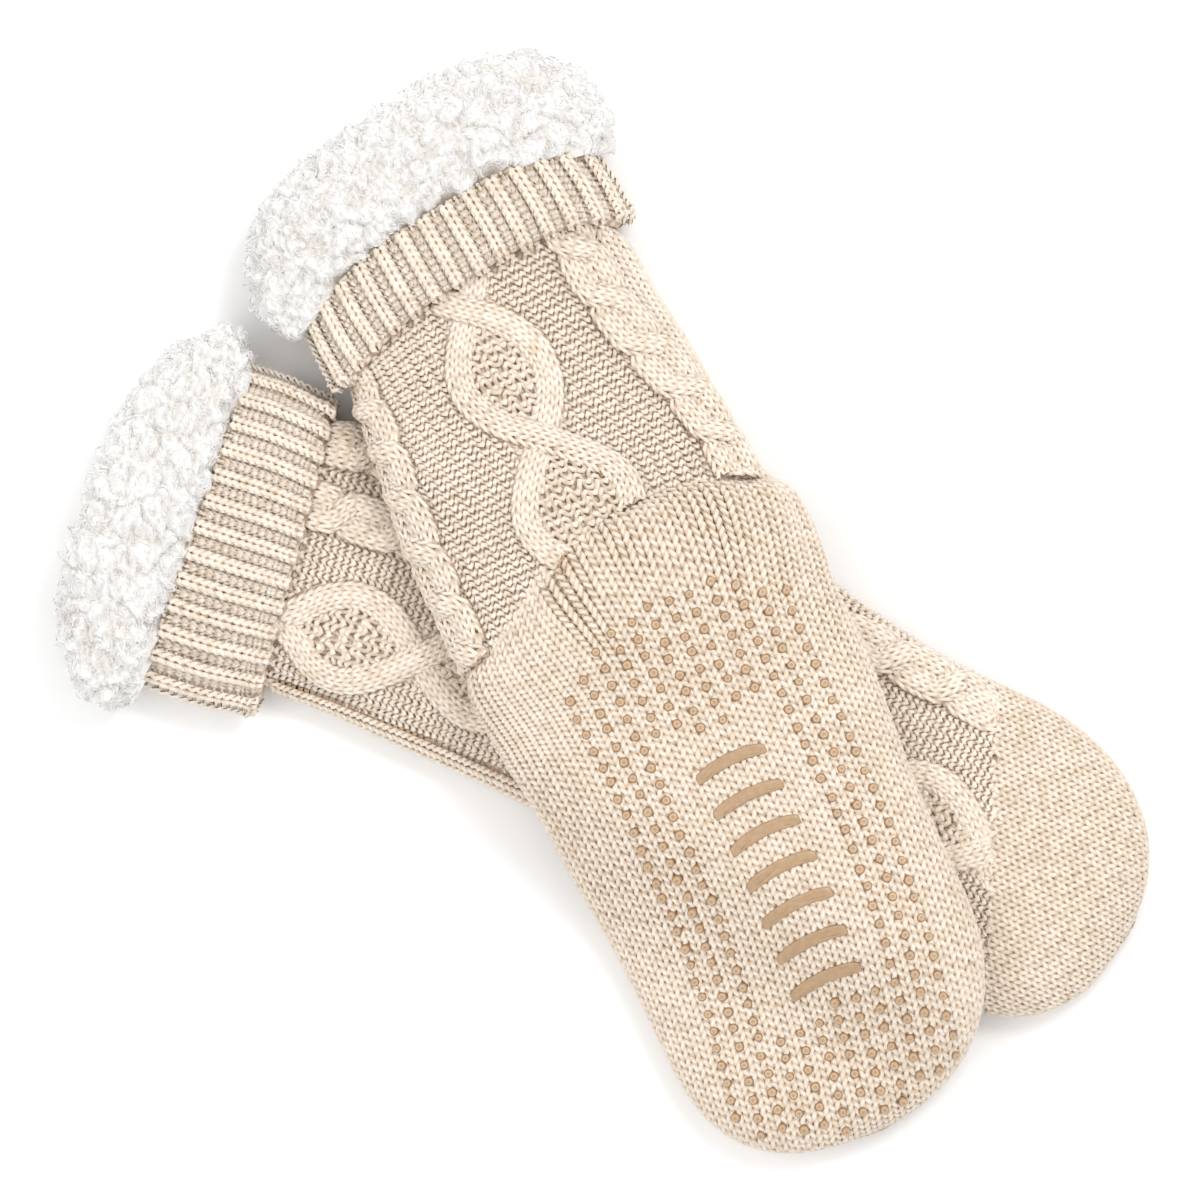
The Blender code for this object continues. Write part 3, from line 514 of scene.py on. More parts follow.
class Pair:
    """Both socks' forms, and which of the lower sock's places the upper one hides."""

    def __init__(self):
        lower, upper = Spine(LOWER_SPINE), Spine(UPPER_SPINE)
        lie = Slope(lower)
        self.upper = Skin(upper, UPPER_KNIT, UPPER_BEND, UPPER_TOE, lie)
        self.lower = Skin(lower, LOWER_KNIT, LOWER_BEND, LOWER_TOE)
        self.upper_cuff = Skin(upper, UPPER_CUFF, UPPER_BEND, None, lie)
        self.lower_cuff = Skin(lower, LOWER_CUFF, LOWER_BEND)
        self.widths = np.array([self.upper.section(s)[:2] for s in self.upper.stations])

    def inside(self, points):
        """How far each point lies inside the upper sock's outline, seen from above."""
        station, across = self.upper.spine.read(points[..., 0], points[..., 1])
        left, right = [np.interp(station, self.upper.stations, self.widths[:, k]) for k in (0, 1)]
        return np.where(across > 0, left - across, right + across)

    def upper_relief(self, station, reach):
        """Height of the upper sock's pattern and heel."""
        on_leg = 1 - ease(station - heel_line(reach), -3.0, 3.0)
        raised = pattern(station, reach, UPPER_ROPES, UPPER_DIAMONDS, UPPER_START)
        return heel_rise(station, reach) + raised * on_leg

    def lower_relief(self, station, reach):
        """Height of the lower sock's pattern where it shows."""
        ropes = LOWER_ROPES if station.max() < 0.5 * sum(HIDDEN) else LOWER_ROPES[:1]
        raised = pattern(station, reach, ropes, LOWER_DIAMONDS, LOWER_START)
        shown = 1 - ease(self.inside(self.lower.bare(station, reach)), *HIDING_EDGE)
        return raised * before_toe(station, reach) * shown


def before_toe(station, reach):
    """1 on the lower sock's pattern and 0 on its plain toe."""
    return 1 - ease(station + TOE_SLANT * reach, TOE_LINE - 6.0, TOE_LINE)


def edge_fade(skin, station, reach):
    """1 on the top and 0 past its edges, where nothing is raised."""
    right, left = skin.edge(station, 1), skin.edge(station, 2)
    return ease(reach, right, right + 8.0) * (1 - ease(reach, left - 8.0, left))


# Meshes


def add_mesh(name, points, quads, marks=None, extra=()):
    """A smooth mesh object from arrays: points in millimetres, faces, and a lay value at each point."""
    mesh = bpy.data.meshes.new(name)
    points = (np.asarray(points, float) - (*PAIR_MIDDLE, 0.0)) * MM
    quads = np.asarray(quads, np.int32).reshape(-1, 4)
    extra = np.asarray(extra, np.int32).reshape(-1, 3)
    mesh.vertices.add(len(points))
    mesh.vertices.foreach_set("co", points.ravel())
    mesh.loops.add(quads.size + extra.size)
    mesh.loops.foreach_set("vertex_index", np.r_[quads.ravel(), extra.ravel()])
    mesh.polygons.add(len(quads) + len(extra))
    starts = np.r_[np.arange(len(quads)) * 4, quads.size + np.arange(len(extra)) * 3]
    mesh.polygons.foreach_set("loop_start", starts.astype(np.int32))
    if marks is not None:
        lay = mesh.attributes.new("lay", "FLOAT_VECTOR", "POINT")
        lay.data.foreach_set("vector", np.asarray(marks, np.float32).ravel())
    mesh.update(calc_edges=True)
    mesh.validate()
    mesh.shade_smooth()
    obj = bpy.data.objects.new(name, mesh)
    bpy.context.scene.collection.objects.link(obj)
    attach(obj, "root")
    return obj


class Strands:
    """Half-round lengths of yarn, gathered into one mesh."""

    def __init__(self, turns=np.radians((-78.0, -27.0, 27.0, 78.0))):
        self.turns = turns
        self.points, self.quads, self.marks, self.count = [], [], [], 0

    def add(self, lines, outs, keep, radius, depth_shade):
        """Rows of points with their outward directions; a stretch is made where both of its ends are kept."""
        along = np.gradient(lines, axis=1)
        along /= np.linalg.norm(along, axis=-1)[..., None] + 1e-12
        side = np.cross(along, outs)
        side /= np.linalg.norm(side, axis=-1)[..., None] + 1e-12
        up = np.cross(side, along)
        radius = np.broadcast_to(radius, keep.shape)[..., None, None]
        ring = lines[..., None, :] + radius * (
            np.sin(self.turns)[:, None] * side[..., None, :] + np.cos(self.turns)[:, None] * up[..., None, :]
        )
        ring[..., 2] = np.maximum(ring[..., 2], 0.05)
        steps = np.linalg.norm(np.diff(lines, axis=1), axis=-1)
        run = np.concatenate([np.zeros((len(lines), 1)), np.cumsum(steps, axis=1)], axis=1)
        run = run + 7.3 * np.arange(len(lines))[:, None]
        marks = np.empty(ring.shape)
        marks[..., 0] = run[..., None]
        marks[..., 1] = self.turns / self.turns[-1]
        # Painted shade: the yarn is darker where its loop lies deep, and darker on its sides than on its top.
        marks[..., 2] = depth_shade[..., None] * (0.55 + 0.45 * np.cos(self.turns))
        both = keep[:, :-1] & keep[:, 1:]
        used = np.zeros(keep.shape, bool)
        used[:, :-1] |= both
        used[:, 1:] |= both
        index = np.full(keep.shape, -1)
        index[used] = np.arange(used.sum())
        first, second = index[:, :-1][both], index[:, 1:][both]
        wide = len(self.turns)
        for k in range(wide - 1):
            quad = np.stack(
                [first * wide + k, first * wide + k + 1, second * wide + k + 1, second * wide + k], axis=-1
            )
            self.quads.append(quad + self.count)
        self.points.append(ring[used].reshape(-1, 3))
        self.marks.append(marks[used].reshape(-1, 3))
        self.count += int(used.sum()) * wide

    def build(self, name):
        """The mesh object of every length laid so far."""
        return add_mesh(name, np.vstack(self.points), np.vstack(self.quads), np.vstack(self.marks))


def loops(courses, wales, fabric, faces, seed=1, jitter=0.05):
    """Yarn through a patch of stitches: (along, across, off, depth, which sets the painted shade, thickness),
    each as courses by points.
    """
    width, height, _ = fabric
    turn = np.linspace(0.0, 2 * math.pi * wales, LOOP_POINTS * wales + 1)
    stitch = np.minimum((turn / (2 * math.pi)).astype(int), wales - 1)
    row = np.arange(courses)[:, None]
    face = faces(row, stitch[None, :]) * np.ones((courses, 1))
    padded = np.pad(face, ((0, 0), (2, 2)), mode="edge")
    face = sum(padded[:, k : k + face.shape[1]] for k in range(5)) / 5
    noise = np.random.default_rng(seed)
    wobble = noise.normal(0.0, 1.0, (2, courses, wales))[:, :, stitch]
    plain = 0.5 + 0.5 * face
    reach_up = PLAIN_REACH * plain + PURL_REACH * (1 - plain)
    swing = PLAIN_SWING * plain + PURL_SWING * (1 - plain)
    along = (row + 0.5) * height - reach_up * height * np.cos(turn) + jitter * height * wobble[0]
    across = width * (turn / (2 * math.pi) - 0.5 * wales) + swing * width * np.sin(2 * turn)
    rise = -np.cos(2 * turn) * face
    off = LOOP_RISE * rise + 1.2 * jitter * wobble[1]
    thick = 1.0 - (1 - plain) * (PURL_THIN - PURL_SWELL * rise)
    return along, across, off, 0.5 + 0.5 * rise, thick


def knit_face(row, stitch):
    """Plain stitches all over."""
    return 1.0 + 0.0 * stitch


def purl_face(row, stitch):
    """Purl stitches all over."""
    return -1.0 + 0.0 * stitch


def rib_face(row, stitch):
    """One plain stitch and two purl ones in turn, starting inside the first rib."""
    return np.where((stitch - 3) % 3 == 0, 1.0, -1.0)


def moss_face(row, stitch):
    """Low and high purl stitches in turn, both ways."""
    return np.where((row + stitch) % 2 == 0, -0.35, -1.0)


def yarn_scale(shape, seed):
    """Slow changes of the yarn's thickness along each course."""
    noise = np.random.default_rng(seed).normal(0.0, 1.0, (shape[0], shape[1] // 4 + 3))
    places = np.linspace(0, noise.shape[1] - 1, shape[1])
    whole = np.floor(places).astype(int)
    part = places - whole
    nxt = np.minimum(whole + 1, noise.shape[1] - 1)
    return 1 + YARN_CHANGE * (noise[:, whole] * (1 - part) + noise[:, nxt] * part)


def in_reach(skin, station, reach, past=YARN_ROUND):
    """True on the top and a little round its lower edges."""
    right, left = skin.edge(station, 1) - past, skin.edge(station, 2) + past
    first = np.maximum(right, skin.edge(station, 0) + 1.0)
    last = np.minimum(left, skin.edge(station, 3) - 1.0)
    return (reach > first) & (reach < last)


def lay_patch(strands, skin, patch, station, reach, base, keep, radius, seed):
    """Lays a patch of loops on a skin at stations and reaches, over a base height."""
    lines, outs = skin.points(station, reach, base + patch[2] - YARN_SINK)
    strands.add(lines, outs, keep, radius * patch[4] * yarn_scale(keep.shape, seed), patch[3])


def lay_ribbon(strands, skin, stations, reaches, heights, wales, fabric, keep_at, seed):
    """A narrow strip of plain knit along a line, domed across, as in a cable's strand."""
    width, height, radius = fabric
    step = np.hypot(np.diff(stations), np.diff(reaches))
    run = np.r_[0.0, np.cumsum(step)]
    courses = int(run[-1] / height)
    patch = loops(courses, wales, fabric, knit_face, seed)
    along = np.clip(patch[0], 0.0, run[-1])
    ways = np.gradient(np.stack([stations, reaches]), run, axis=1)
    ways /= np.linalg.norm(ways, axis=0)
    way = [np.interp(along, run, w) for w in ways]
    station = np.interp(along, run, stations) - patch[1] * way[1]
    reach = np.interp(along, run, reaches) + patch[1] * way[0]
    base = np.interp(along, run, heights) * dome(patch[1] / (0.5 * wales * width + 0.5))
    keep = keep_at(station, reach) & in_reach(skin, station, reach)
    lay_patch(strands, skin, patch, station, reach, base, keep, radius, seed)


def lay_cables(strands, skin, ropes, panel, ends, keep_at, fade, seed):
    """Every rope strand and diamond band between two stations."""
    stations = np.arange(*ends, 0.5)
    for k, row in enumerate(ropes):
        if row.pitch < RIDGE_PITCH:
            reaches = rope_middle(stations, row)
            heights = RIDGE_HEIGHT * fade(stations, reaches)
            lay_ribbon(strands, skin, stations, reaches, heights, 3, EDGE, keep_at, seed + 10 * k)
            continue
        wales = max(2, int(round(2 * STRAND_RADIUS * row.width / CABLE.width)))
        for number in (0, 1):
            reaches, lift = rope_strand(stations, row, number)
            heights = (STRAND_STAND[0] * ROPE_HEIGHT + STRAND_STAND[1] * lift) * fade(stations, reaches)
            draw = seed + 10 * k + number
            lay_ribbon(strands, skin, stations, reaches, heights, wales, CABLE, keep_at, draw)
    middle, half, wave = diamond_wave(stations, panel)
    turns = (stations - panel.first) / panel.pitch
    near = np.abs((turns + 0.5) % 1.0 - 0.5) * panel.pitch
    going = np.cos(math.pi * turns)
    for number, side in enumerate((1.0, -1.0)):
        over = np.where(side * going > 0, 1.0, BAND_UNDER) * np.exp(-((near / BAND_CROSSING) ** 2))
        reaches = middle + side * half * wave
        heights = (BAND_STAND[0] * BAND_HEIGHT + BAND_STAND[1] * over) * fade(stations, reaches)
        lay_ribbon(strands, skin, stations, reaches, heights, 3, CABLE, keep_at, seed + 50 + number)


def covered(station, reach, ropes, panel):
    """True where a rope strand or band lies over the ground."""
    hidden = np.zeros(station.shape, bool)
    for row in ropes:
        if row.pitch < RIDGE_PITCH:
            hidden |= np.abs(reach - rope_middle(station, row)) < RIDGE_COVER
        else:
            hidden |= rope(station, reach, row) > ROPE_COVER
    middle, half, wave = diamond_wave(station, panel)
    for side in (1.0, -1.0):
        hidden |= np.abs(reach - middle - side * half * wave) < BAND_COVER * BAND_WIDTH
    return hidden


def in_diamond(station, reach, panel):
    """True between a diamond's bands."""
    middle, half, wave = diamond_wave(station, panel)
    return np.abs(reach - middle) < half * np.abs(wave)


def lay_ground(strands, skin, ropes, panel, ends, keep_at, plain_at, seed):
    """Reverse knit ground with moss stitch in the diamonds, and plain knit where plain_at says so."""
    first, last = ends
    for number, (fabric, face) in enumerate(((GROUND, purl_face), (MOSS, moss_face), (GROUND, knit_face))):
        wales = int(GROUND_WIDTH / fabric.width)
        courses = int((last - first) / fabric.height)
        jitter = MOSS_JITTER if fabric is MOSS else GROUND_JITTER
        patch = loops(courses, wales, fabric, face, seed + number, jitter)
        station = np.clip(first + patch[0], first, last)
        reach = patch[1] + (rope_middle(station, ropes[0]) - ropes[0].reach_a) * 0.4
        moss, plain = in_diamond(station, reach, panel), plain_at(station, reach)
        chosen = (~moss & ~plain, moss, plain & ~moss)[number]
        keep = chosen & ~covered(station, reach, ropes, panel) & keep_at(station, reach)
        keep &= in_reach(skin, station, reach)
        base = np.where(moss, MOSS_HEIGHT, 0.0)
        lay_patch(strands, skin, patch, station, reach, base, keep, fabric.radius, seed + number)


def crown_stations(skin, first):
    """Stations at even distances over the crown from a first one, round the toe's tip."""
    stations = skin.stations[skin.stations >= first]
    high = np.array([skin.section(s)[3] for s in stations])
    run = np.r_[0.0, np.cumsum(np.hypot(np.diff(stations), np.diff(high)))]
    return run, stations


# Materials


WHITE = (1.0, 1.0, 1.0)


class Look:
    """A material under way: its shader, and the nodes that feed it."""

    def __init__(self, name, roughness, **inputs):
        self.made = bpy.data.materials.new(name)
        self.made.use_nodes = True
        self.nodes, self.links = self.made.node_tree.nodes, self.made.node_tree.links
        self.shader = self.nodes["Principled BSDF"]
        for socket, value in {"Roughness": roughness, **inputs}.items():
            self.shader.inputs[socket.replace("_", " ")].default_value = value

    def feed(self, socket, value):
        """Gives a socket a plain value, a colour or another node's output."""
        if isinstance(value, (int, float)):
            socket.default_value = value
        elif isinstance(value, tuple):
            socket.default_value = (*value, 1.0)
        else:
            self.links.new(value, socket)

    def math(self, operation, one, two=0.5):
        """One sum of two values, or a function of the first."""
        node = self.nodes.new("ShaderNodeMath")
        node.operation = operation
        self.feed(node.inputs[0], one)
        self.feed(node.inputs[1], two)
        return node.outputs[0]

    def noise(self, scale, detail=3.0, roughness=0.55):
        """Soft noise over the object, scale to a metre."""
        where = self.nodes.new("ShaderNodeTexCoord")
        node = self.nodes.new("ShaderNodeTexNoise")
        for socket, value in (("Scale", scale), ("Detail", detail), ("Roughness", roughness)):
            node.inputs[socket].default_value = value
        self.links.new(where.outputs["Object"], node.inputs["Vector"])
        return node.outputs["Fac"]

    def ramp(self, value, *stops):
        """A colour by a value, between stops of place and colour."""
        node = self.nodes.new("ShaderNodeValToRGB")
        ramp = node.color_ramp
        while len(ramp.elements) < len(stops):
            ramp.elements.new(0.5)
        for element, (place, colour) in zip(ramp.elements, stops):
            element.position, element.color = place, (*colour, 1.0)
        self.links.new(value, node.inputs["Fac"])
        return node.outputs["Color"]

    def shade(self, one, two):
        """The product of two colours."""
        node = self.nodes.new("ShaderNodeMix")
        node.data_type, node.blend_type = "RGBA", "MULTIPLY"
        for socket, value in zip((node.inputs[0], node.inputs[6], node.inputs[7]), (1.0, one, two)):
            self.feed(socket, value)
        return node.outputs[2]

    def lay(self):
        """The lay attribute's along, around and depth values; the depth value drives the painted shade and
        the painted highlights.
        """
        node = self.nodes.new("ShaderNodeAttribute")
        node.attribute_name = "lay"
        split = self.nodes.new("ShaderNodeSeparateXYZ")
        self.links.new(node.outputs["Vector"], split.inputs[0])
        return split.outputs

    def finish(self, colour, height, strength, distance):
        """Links the colour and a bump, and gives the material."""
        bump = self.nodes.new("ShaderNodeBump")
        bump.inputs["Strength"].default_value = strength
        bump.inputs["Distance"].default_value = distance
        self.links.new(height, bump.inputs["Height"])
        self.links.new(bump.outputs["Normal"], self.shader.inputs["Normal"])
        self.links.new(colour, self.shader.inputs["Base Color"])
        return self.made


def yarn_material(name, colours, span=(0.3, 0.96)):
    """Plied cotton yarn: painted shade, tan, in the crevices and on the yarn's sides, its own light colour on
    the crowns, with slow random changes of tone.
    """
    look = Look(name, 0.85, Sheen_Weight=0.25, Sheen_Roughness=0.5)
    along, around, depth_shade = look.lay()
    # Painted shade: the yarn turns tan where it lies deep and on its sides, between the stitches.
    crevice_shade = look.ramp(depth_shade, (span[0], tuple(colours.yarn_painted_shade)), (span[1], tuple(colours.yarn_light)))
    patches = look.ramp(look.noise(260.0, 2.0), (0.3, (0.86, 0.82, 0.76)), (0.62, WHITE))
    slow = look.ramp(look.noise(24.0, 2.0), (0.3, (0.95, 0.94, 0.92)), (0.7, WHITE))
    twist = look.math("ADD", look.math("MULTIPLY", along, 3.4), look.math("MULTIPLY", around, 2.2))
    height = look.math("ADD", look.math("SINE", twist), look.noise(2600.0, 2.0))
    return look.finish(look.shade(look.shade(crevice_shade, patches), slow), height, 0.5, 0.00022)


def wall_material(name, colours):
    """The inner side of the knit, seen between the loops and underneath: fine rows of small stitches, in
    painted shade that runs from the crevices' tan to the yarn's colour and is darkest in the stitches'
    hollows.
    """
    look = Look(name, 0.95)
    along, around, _ = look.lay()
    rows = look.math("SINE", look.math("MULTIPLY", along, 2 * math.pi / 2.5))
    wales = look.math("SINE", look.math("MULTIPLY", around, 2 * math.pi / 4.6))
    stitches = look.math("MULTIPLY", look.math("MULTIPLY", rows, wales), 0.35)
    share = look.math("ADD", stitches, look.noise(300.0))
    # Painted shade: the wall is tan between the loops, darkest in its stitches' hollows.
    colour = look.ramp(share, (0.25, tuple(colours.yarn_painted_shade)), (0.8, tuple(colours.yarn_light)))
    return look.finish(colour, share, 0.7, 0.0006)


def fleece_material(name, colours):
    """Sherpa fleece: white curls, with painted shade, a little grey and warm, where they sink."""
    look = Look(
        name,
        0.95,
        Subsurface_Weight=0.35,
        Subsurface_Radius=(0.004, 0.0038, 0.0035),
        Subsurface_Scale=1.0,
        Sheen_Weight=0.5,
        Sheen_Roughness=0.6,
    )
    # Painted shade: grey and warm where the lay depth is low, between the clumps; white on them.
    colour = look.ramp(look.lay()[2], (0.05, tuple(colours.fleece_painted_shade)), (0.6, tuple(colours.fleece_white)))
    height = look.math("ADD", look.noise(700.0, 4.0, 0.65), look.noise(2400.0, 2.0))
    return look.finish(colour, height, 0.4, 0.0005)


def rubber_material(name, colours):
    """Moulded rubber: tan domes with painted shade round their rims, a painted highlight near their tops, and
    a soft gloss.
    """
    look = Look(name, 0.32, Specular_IOR_Level=0.55)
    tan = tuple(colours.rubber)
    # Painted shade and painted highlight: a darker colour for the rims at the dots' and bars' feet, and a
    # lighter one for the highlight near the dots' tops.
    rim_shade = (0.58 * tan[0], 0.5 * tan[1], 0.42 * tan[2])
    light = tuple(min(1.0, 1.35 * c + 0.06) for c in tan)
    base = look.ramp(look.lay()[2], (0.05, rim_shade), (0.5, tan), (1.0, light))
    mottle = look.ramp(look.noise(500.0, 2.0), (0.35, (0.88, 0.86, 0.84)), (0.65, WHITE))
    return look.finish(look.shade(base, mottle), look.noise(900.0, 2.0), 0.25, 0.0003)


def dress(obj, material):
    """Gives an object one material."""
    obj.data.materials.clear()
    obj.data.materials.append(material)
    return obj


# Settings


class SockColours(bpy.types.PropertyGroup):
    """Colours of the pair's materials"""

    yarn_light: bpy.props.FloatVectorProperty(
        name="Yarn",
        description="Colour of the yarn on its crowns",
        subtype="COLOR",
        default=(0.93, 0.845, 0.745),
        min=0.0,
        max=1.0,
    )
    # Painted shade: the tan that the yarn is given in the crevices, and that the knit's wall is given between
    # the loops.
    yarn_painted_shade: bpy.props.FloatVectorProperty(
        name="Crevices",
        description="Colour of the yarn between the stitches",
        subtype="COLOR",
        default=(0.55, 0.39, 0.26),
        min=0.0,
        max=1.0,
    )
    fleece_white: bpy.props.FloatVectorProperty(
        name="Fleece",
        description="Colour of the fleece on its curls",
        subtype="COLOR",
        default=(0.92, 0.905, 0.885),
        min=0.0,
        max=1.0,
    )
    # Painted shade: the grey warm colour that the fleece is given where it sinks between its curls.
    fleece_painted_shade: bpy.props.FloatVectorProperty(
        name="Fleece shade",
        description="Colour of the fleece between its curls",
        subtype="COLOR",
        default=(0.82, 0.765, 0.71),
        min=0.0,
        max=1.0,
    )
    rubber: bpy.props.FloatVectorProperty(
        name="Rubber",
        description="Colour of the grip dots and bars",
        subtype="COLOR",
        default=(0.44, 0.29, 0.165),
        min=0.0,
        max=1.0,
    )


class SockSizes(bpy.types.PropertyGroup):
    """Sizes of the pair's raised detail"""

    fleece_height: bpy.props.FloatProperty(
        name="Fleece height",
        description="Height of the fleece's clumps",
        default=0.005,
        min=0.0,
        unit="LENGTH",
    )
    dot_radius: bpy.props.FloatProperty(
        name="Dot radius",
        description="Radius of a grip dot",
        default=0.00185,
        min=0.0,
        unit="LENGTH",
    )
    dot_height: bpy.props.FloatProperty(
        name="Dot height",
        description="Height of a grip dot",
        default=0.00135,
        min=0.0,
        unit="LENGTH",
    )
    bar_height: bpy.props.FloatProperty(
        name="Bar height",
        description="Height of a tread bar",
        default=0.0011,
        min=0.0,
        unit="LENGTH",
    )


class StageSettings(bpy.types.PropertyGroup):
    """Camera and light"""

    distance: bpy.props.FloatProperty(
        name="Camera height",
        description="Height of the camera over the floor",
        default=6.0,
        min=1.0,
        unit="LENGTH",
    )
    frame_width: bpy.props.FloatProperty(
        name="View width",
        description="Width of floor that the camera sees",
        default=0.4284,
        min=0.1,
        unit="LENGTH",
    )
    key: bpy.props.FloatProperty(
        name="Key light",
        description="Power of the main light",
        default=17.0,
        min=0.0,
        unit="POWER",
    )
    fill: bpy.props.FloatProperty(
        name="Sky",
        description="Strength of the even light from all sides",
        default=0.98,
        min=0.0,
    )


PAIR = None


def pair():
    """The forms of both socks, worked out once."""
    global PAIR
    if PAIR is None:
        PAIR = Pair()
    return PAIR


WALL_STEP = 2.6
WALL_ROUND = 132
WALL_INNER_END = 396.0


def wall_mesh(name, skin, relief, first):
    """A closed double skin: the tube's outer form with its relief, joined at the mouth to a plain inside."""
    body = np.arange(first, skin.end - TOE_DROP, WALL_STEP)
    tip = skin.end - TOE_DROP + TOE_DROP * np.sin(np.linspace(0.0, 0.485 * math.pi, 14))
    stations = np.r_[body, tip]
    count = WALL_ROUND
    share = np.linspace(0.0, 1.0, count, endpoint=False)

    def ring(station, sink, raised):
        low, high = skin.edge(station, 0), skin.edge(station, 3)
        reach = low + share * (high - low)
        place = np.full(count, station)
        base = relief(place, reach) * edge_fade(skin, place, reach) if raised else np.zeros(count)
        out = skin.points(place, reach, base)[1]
        down = ease(-out[:, 2], 0.3, 0.9)
        off = base - sink * (1 - down) - (0.0 if raised else 1.6) * down
        ring_points = skin.points(place, reach, off)[0]
        ring_points[:, 2] = np.maximum(ring_points[:, 2], 0.0)
        return ring_points, np.stack([place, reach, np.ones(count)], -1)

    rings = [ring(s, LINING_SINK, False) for s in np.linspace(WALL_INNER_END, first, 60)]
    rings += [ring(s, WALL_SINK, True) for s in stations]
    points = np.vstack([r[0] for r in rings])
    marks = np.vstack([r[1] for r in rings])
    quads = ring_quads(len(rings), count)
    extra = []
    for base, back in ((0, True), ((len(rings) - 1) * count, False)):
        middle = len(points)
        points = np.vstack([points, points[base : base + count].mean(axis=0)])
        marks = np.vstack([marks, marks[base]])
        for k in range(count):
            corner = (base + k, base + (k + 1) % count, middle)
            extra.append(corner[::-1] if back else corner)
    return add_mesh(name, points, quads, marks, extra)


def ring_quads(rings, count, closed=False):
    """Faces between rings of points, all the way round."""
    k = np.arange(rings if closed else rings - 1)[:, None]
    j = np.arange(count)[None, :]
    a, b = k * count, (k + 1) % rings * count
    quad = np.stack([a + j, a + (j + 1) % count, b + (j + 1) % count, b + j], axis=-1)
    return quad.reshape(-1, 4)


class SOCKS_OT_walls(bpy.types.Operator):
    """Makes each sock's thin wall, which shows between the stitches, underneath and inside"""

    bl_idname = "socks.walls"
    bl_label = "Walls"

    def execute(self, context):
        socks = pair()
        made = wall_material("Knit_back", context.scene.sock_colours)
        upper = wall_mesh("upper_sock_wall", socks.upper, socks.upper_relief, UPPER_KNIT[0][0])
        lower = wall_mesh("lower_sock_wall", socks.lower, socks.lower_relief, LOWER_KNIT[0][0])
        for obj, node in ((upper, "upper_sock_knit"), (lower, "lower_sock_knit")):
            dress(obj, made)
            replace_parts(obj, node)
        return {"FINISHED"}


def on_leg(station, reach):
    """True on the upper sock's leg, up to its heel fold."""
    return station < heel_line(reach) + 1.0


def beside_rope(station, reach):
    """True past the upper sock's left rope, where the knit is plain."""
    return reach > rope_middle(station, UPPER_ROPES[0]) + 0.4 * UPPER_ROPES[0].width


def no_place(station, reach):
    """False everywhere."""
    return np.zeros(station.shape, bool)


def lower_shown(station, reach):
    """True on the lower sock's pattern where the upper sock doesn't hide it."""
    inside = pair().inside(pair().lower.bare(station, reach))
    return (inside < SHOWN_INSIDE) & (station + TOE_SLANT * reach < TOE_LINE - 3.0)


class SOCKS_OT_ground(bpy.types.Operator):
    """Knits the reverse ground and the moss stitch of both socks"""

    bl_idname = "socks.ground"
    bl_label = "Ground"

    def execute(self, context):
        socks = pair()
        made = yarn_material("Knit_ground", context.scene.sock_colours, (0.1, 0.78))
        upper = Strands()
        lay_ground(upper, socks.upper, UPPER_ROPES, UPPER_DIAMONDS, UPPER_LEG, on_leg, beside_rope, 100)
        lower = Strands()
        for ends, ropes in ((LOWER_LEG, LOWER_ROPES), (LOWER_FOOT, LOWER_ROPES[:1])):
            lay_ground(lower, socks.lower, ropes, LOWER_DIAMONDS, ends, lower_shown, no_place, 200)
        for strands, name in ((upper, "upper_leg_ground"), (lower, "lower_leg_ground")):
            dress(strands.build(name), made)
        return {"FINISHED"}


class SOCKS_OT_cables(bpy.types.Operator):
    """Knits the rope cables and the diamond bands of both socks"""

    bl_idname = "socks.cables"
    bl_label = "Cables"

    def execute(self, context):
        socks = pair()
        made = yarn_material("Knit_cable", context.scene.sock_colours, (0.2, 0.88))
        upper, fade = Strands(), start_fade(UPPER_START)
        ends = (UPPER_LEG[0] - 1.0, UPPER_LEG[1])
        lay_cables(upper, socks.upper, UPPER_ROPES, UPPER_DIAMONDS, ends, on_leg, fade, 300)
        lower, fade = Strands(), start_fade(LOWER_START)
        for ends, ropes in ((LOWER_LEG, LOWER_ROPES), (LOWER_FOOT, LOWER_ROPES[:1])):
            lay_cables(lower, socks.lower, ropes, LOWER_DIAMONDS, ends, lower_shown, fade, 400)
        for strands, name in ((upper, "upper_leg_cables"), (lower, "lower_leg_cables")):
            dress(strands.build(name), made)
        return {"FINISHED"}


def start_fade(start):
    """Low under the cuff, and on the lower sock low again where the plain toe starts."""

    def fade(station, reach):
        rise = 0.35 + 0.65 * ease(station, start - 1.0, start + 5.0)
        if start == LOWER_START:
            rise = rise * (1 - 0.85 * ease(station + TOE_SLANT * reach, TOE_LINE - 24.0, TOE_LINE - 3.0))
        return rise

    return fade


def sole_drift(station):
    """How far the sole's wales and dots drift to the right on their way to the toe."""
    turn_in = np.clip(station - 290.0, 0.0, None) / 110.0
    return -0.02 * np.clip(station - 200.0, 0.0, None) - 13.5 * turn_in**1.6


def lay_sole(strands, skin, courses):
    """Plain knit over the upper sock's heel, sole and toe, for a stretch of courses from its heel fold."""
    run, stations = crown_stations(skin, HEEL_START)
    count = int((run[-1] + 16.0) / SOLE.height)
    patch = loops(count, int(SOLE_WIDTH / SOLE.width), SOLE, knit_face, 500)
    patch = [part[slice(*courses)] for part in patch]
    fan = 1 - ease(patch[0], 0.0, HEEL_FAN)
    slope = (heel_line(patch[1] + 2.0) - heel_line(patch[1] - 2.0)) / 4.0
    station = np.interp(patch[0], run, stations) + (heel_line(patch[1]) - HEEL_START) * fan
    station = np.minimum(station, skin.stations[-1])
    reach = patch[1] + FAN_SPREAD * fan**2 * slope + sole_drift(station)
    rise = heel_rise(station, reach) * edge_fade(skin, station, reach)
    keep = in_reach(skin, station, reach) & (station < skin.stations[-1] - 0.02)
    lay_patch(strands, skin, patch, station, reach, rise, keep, SOLE.radius, 501)


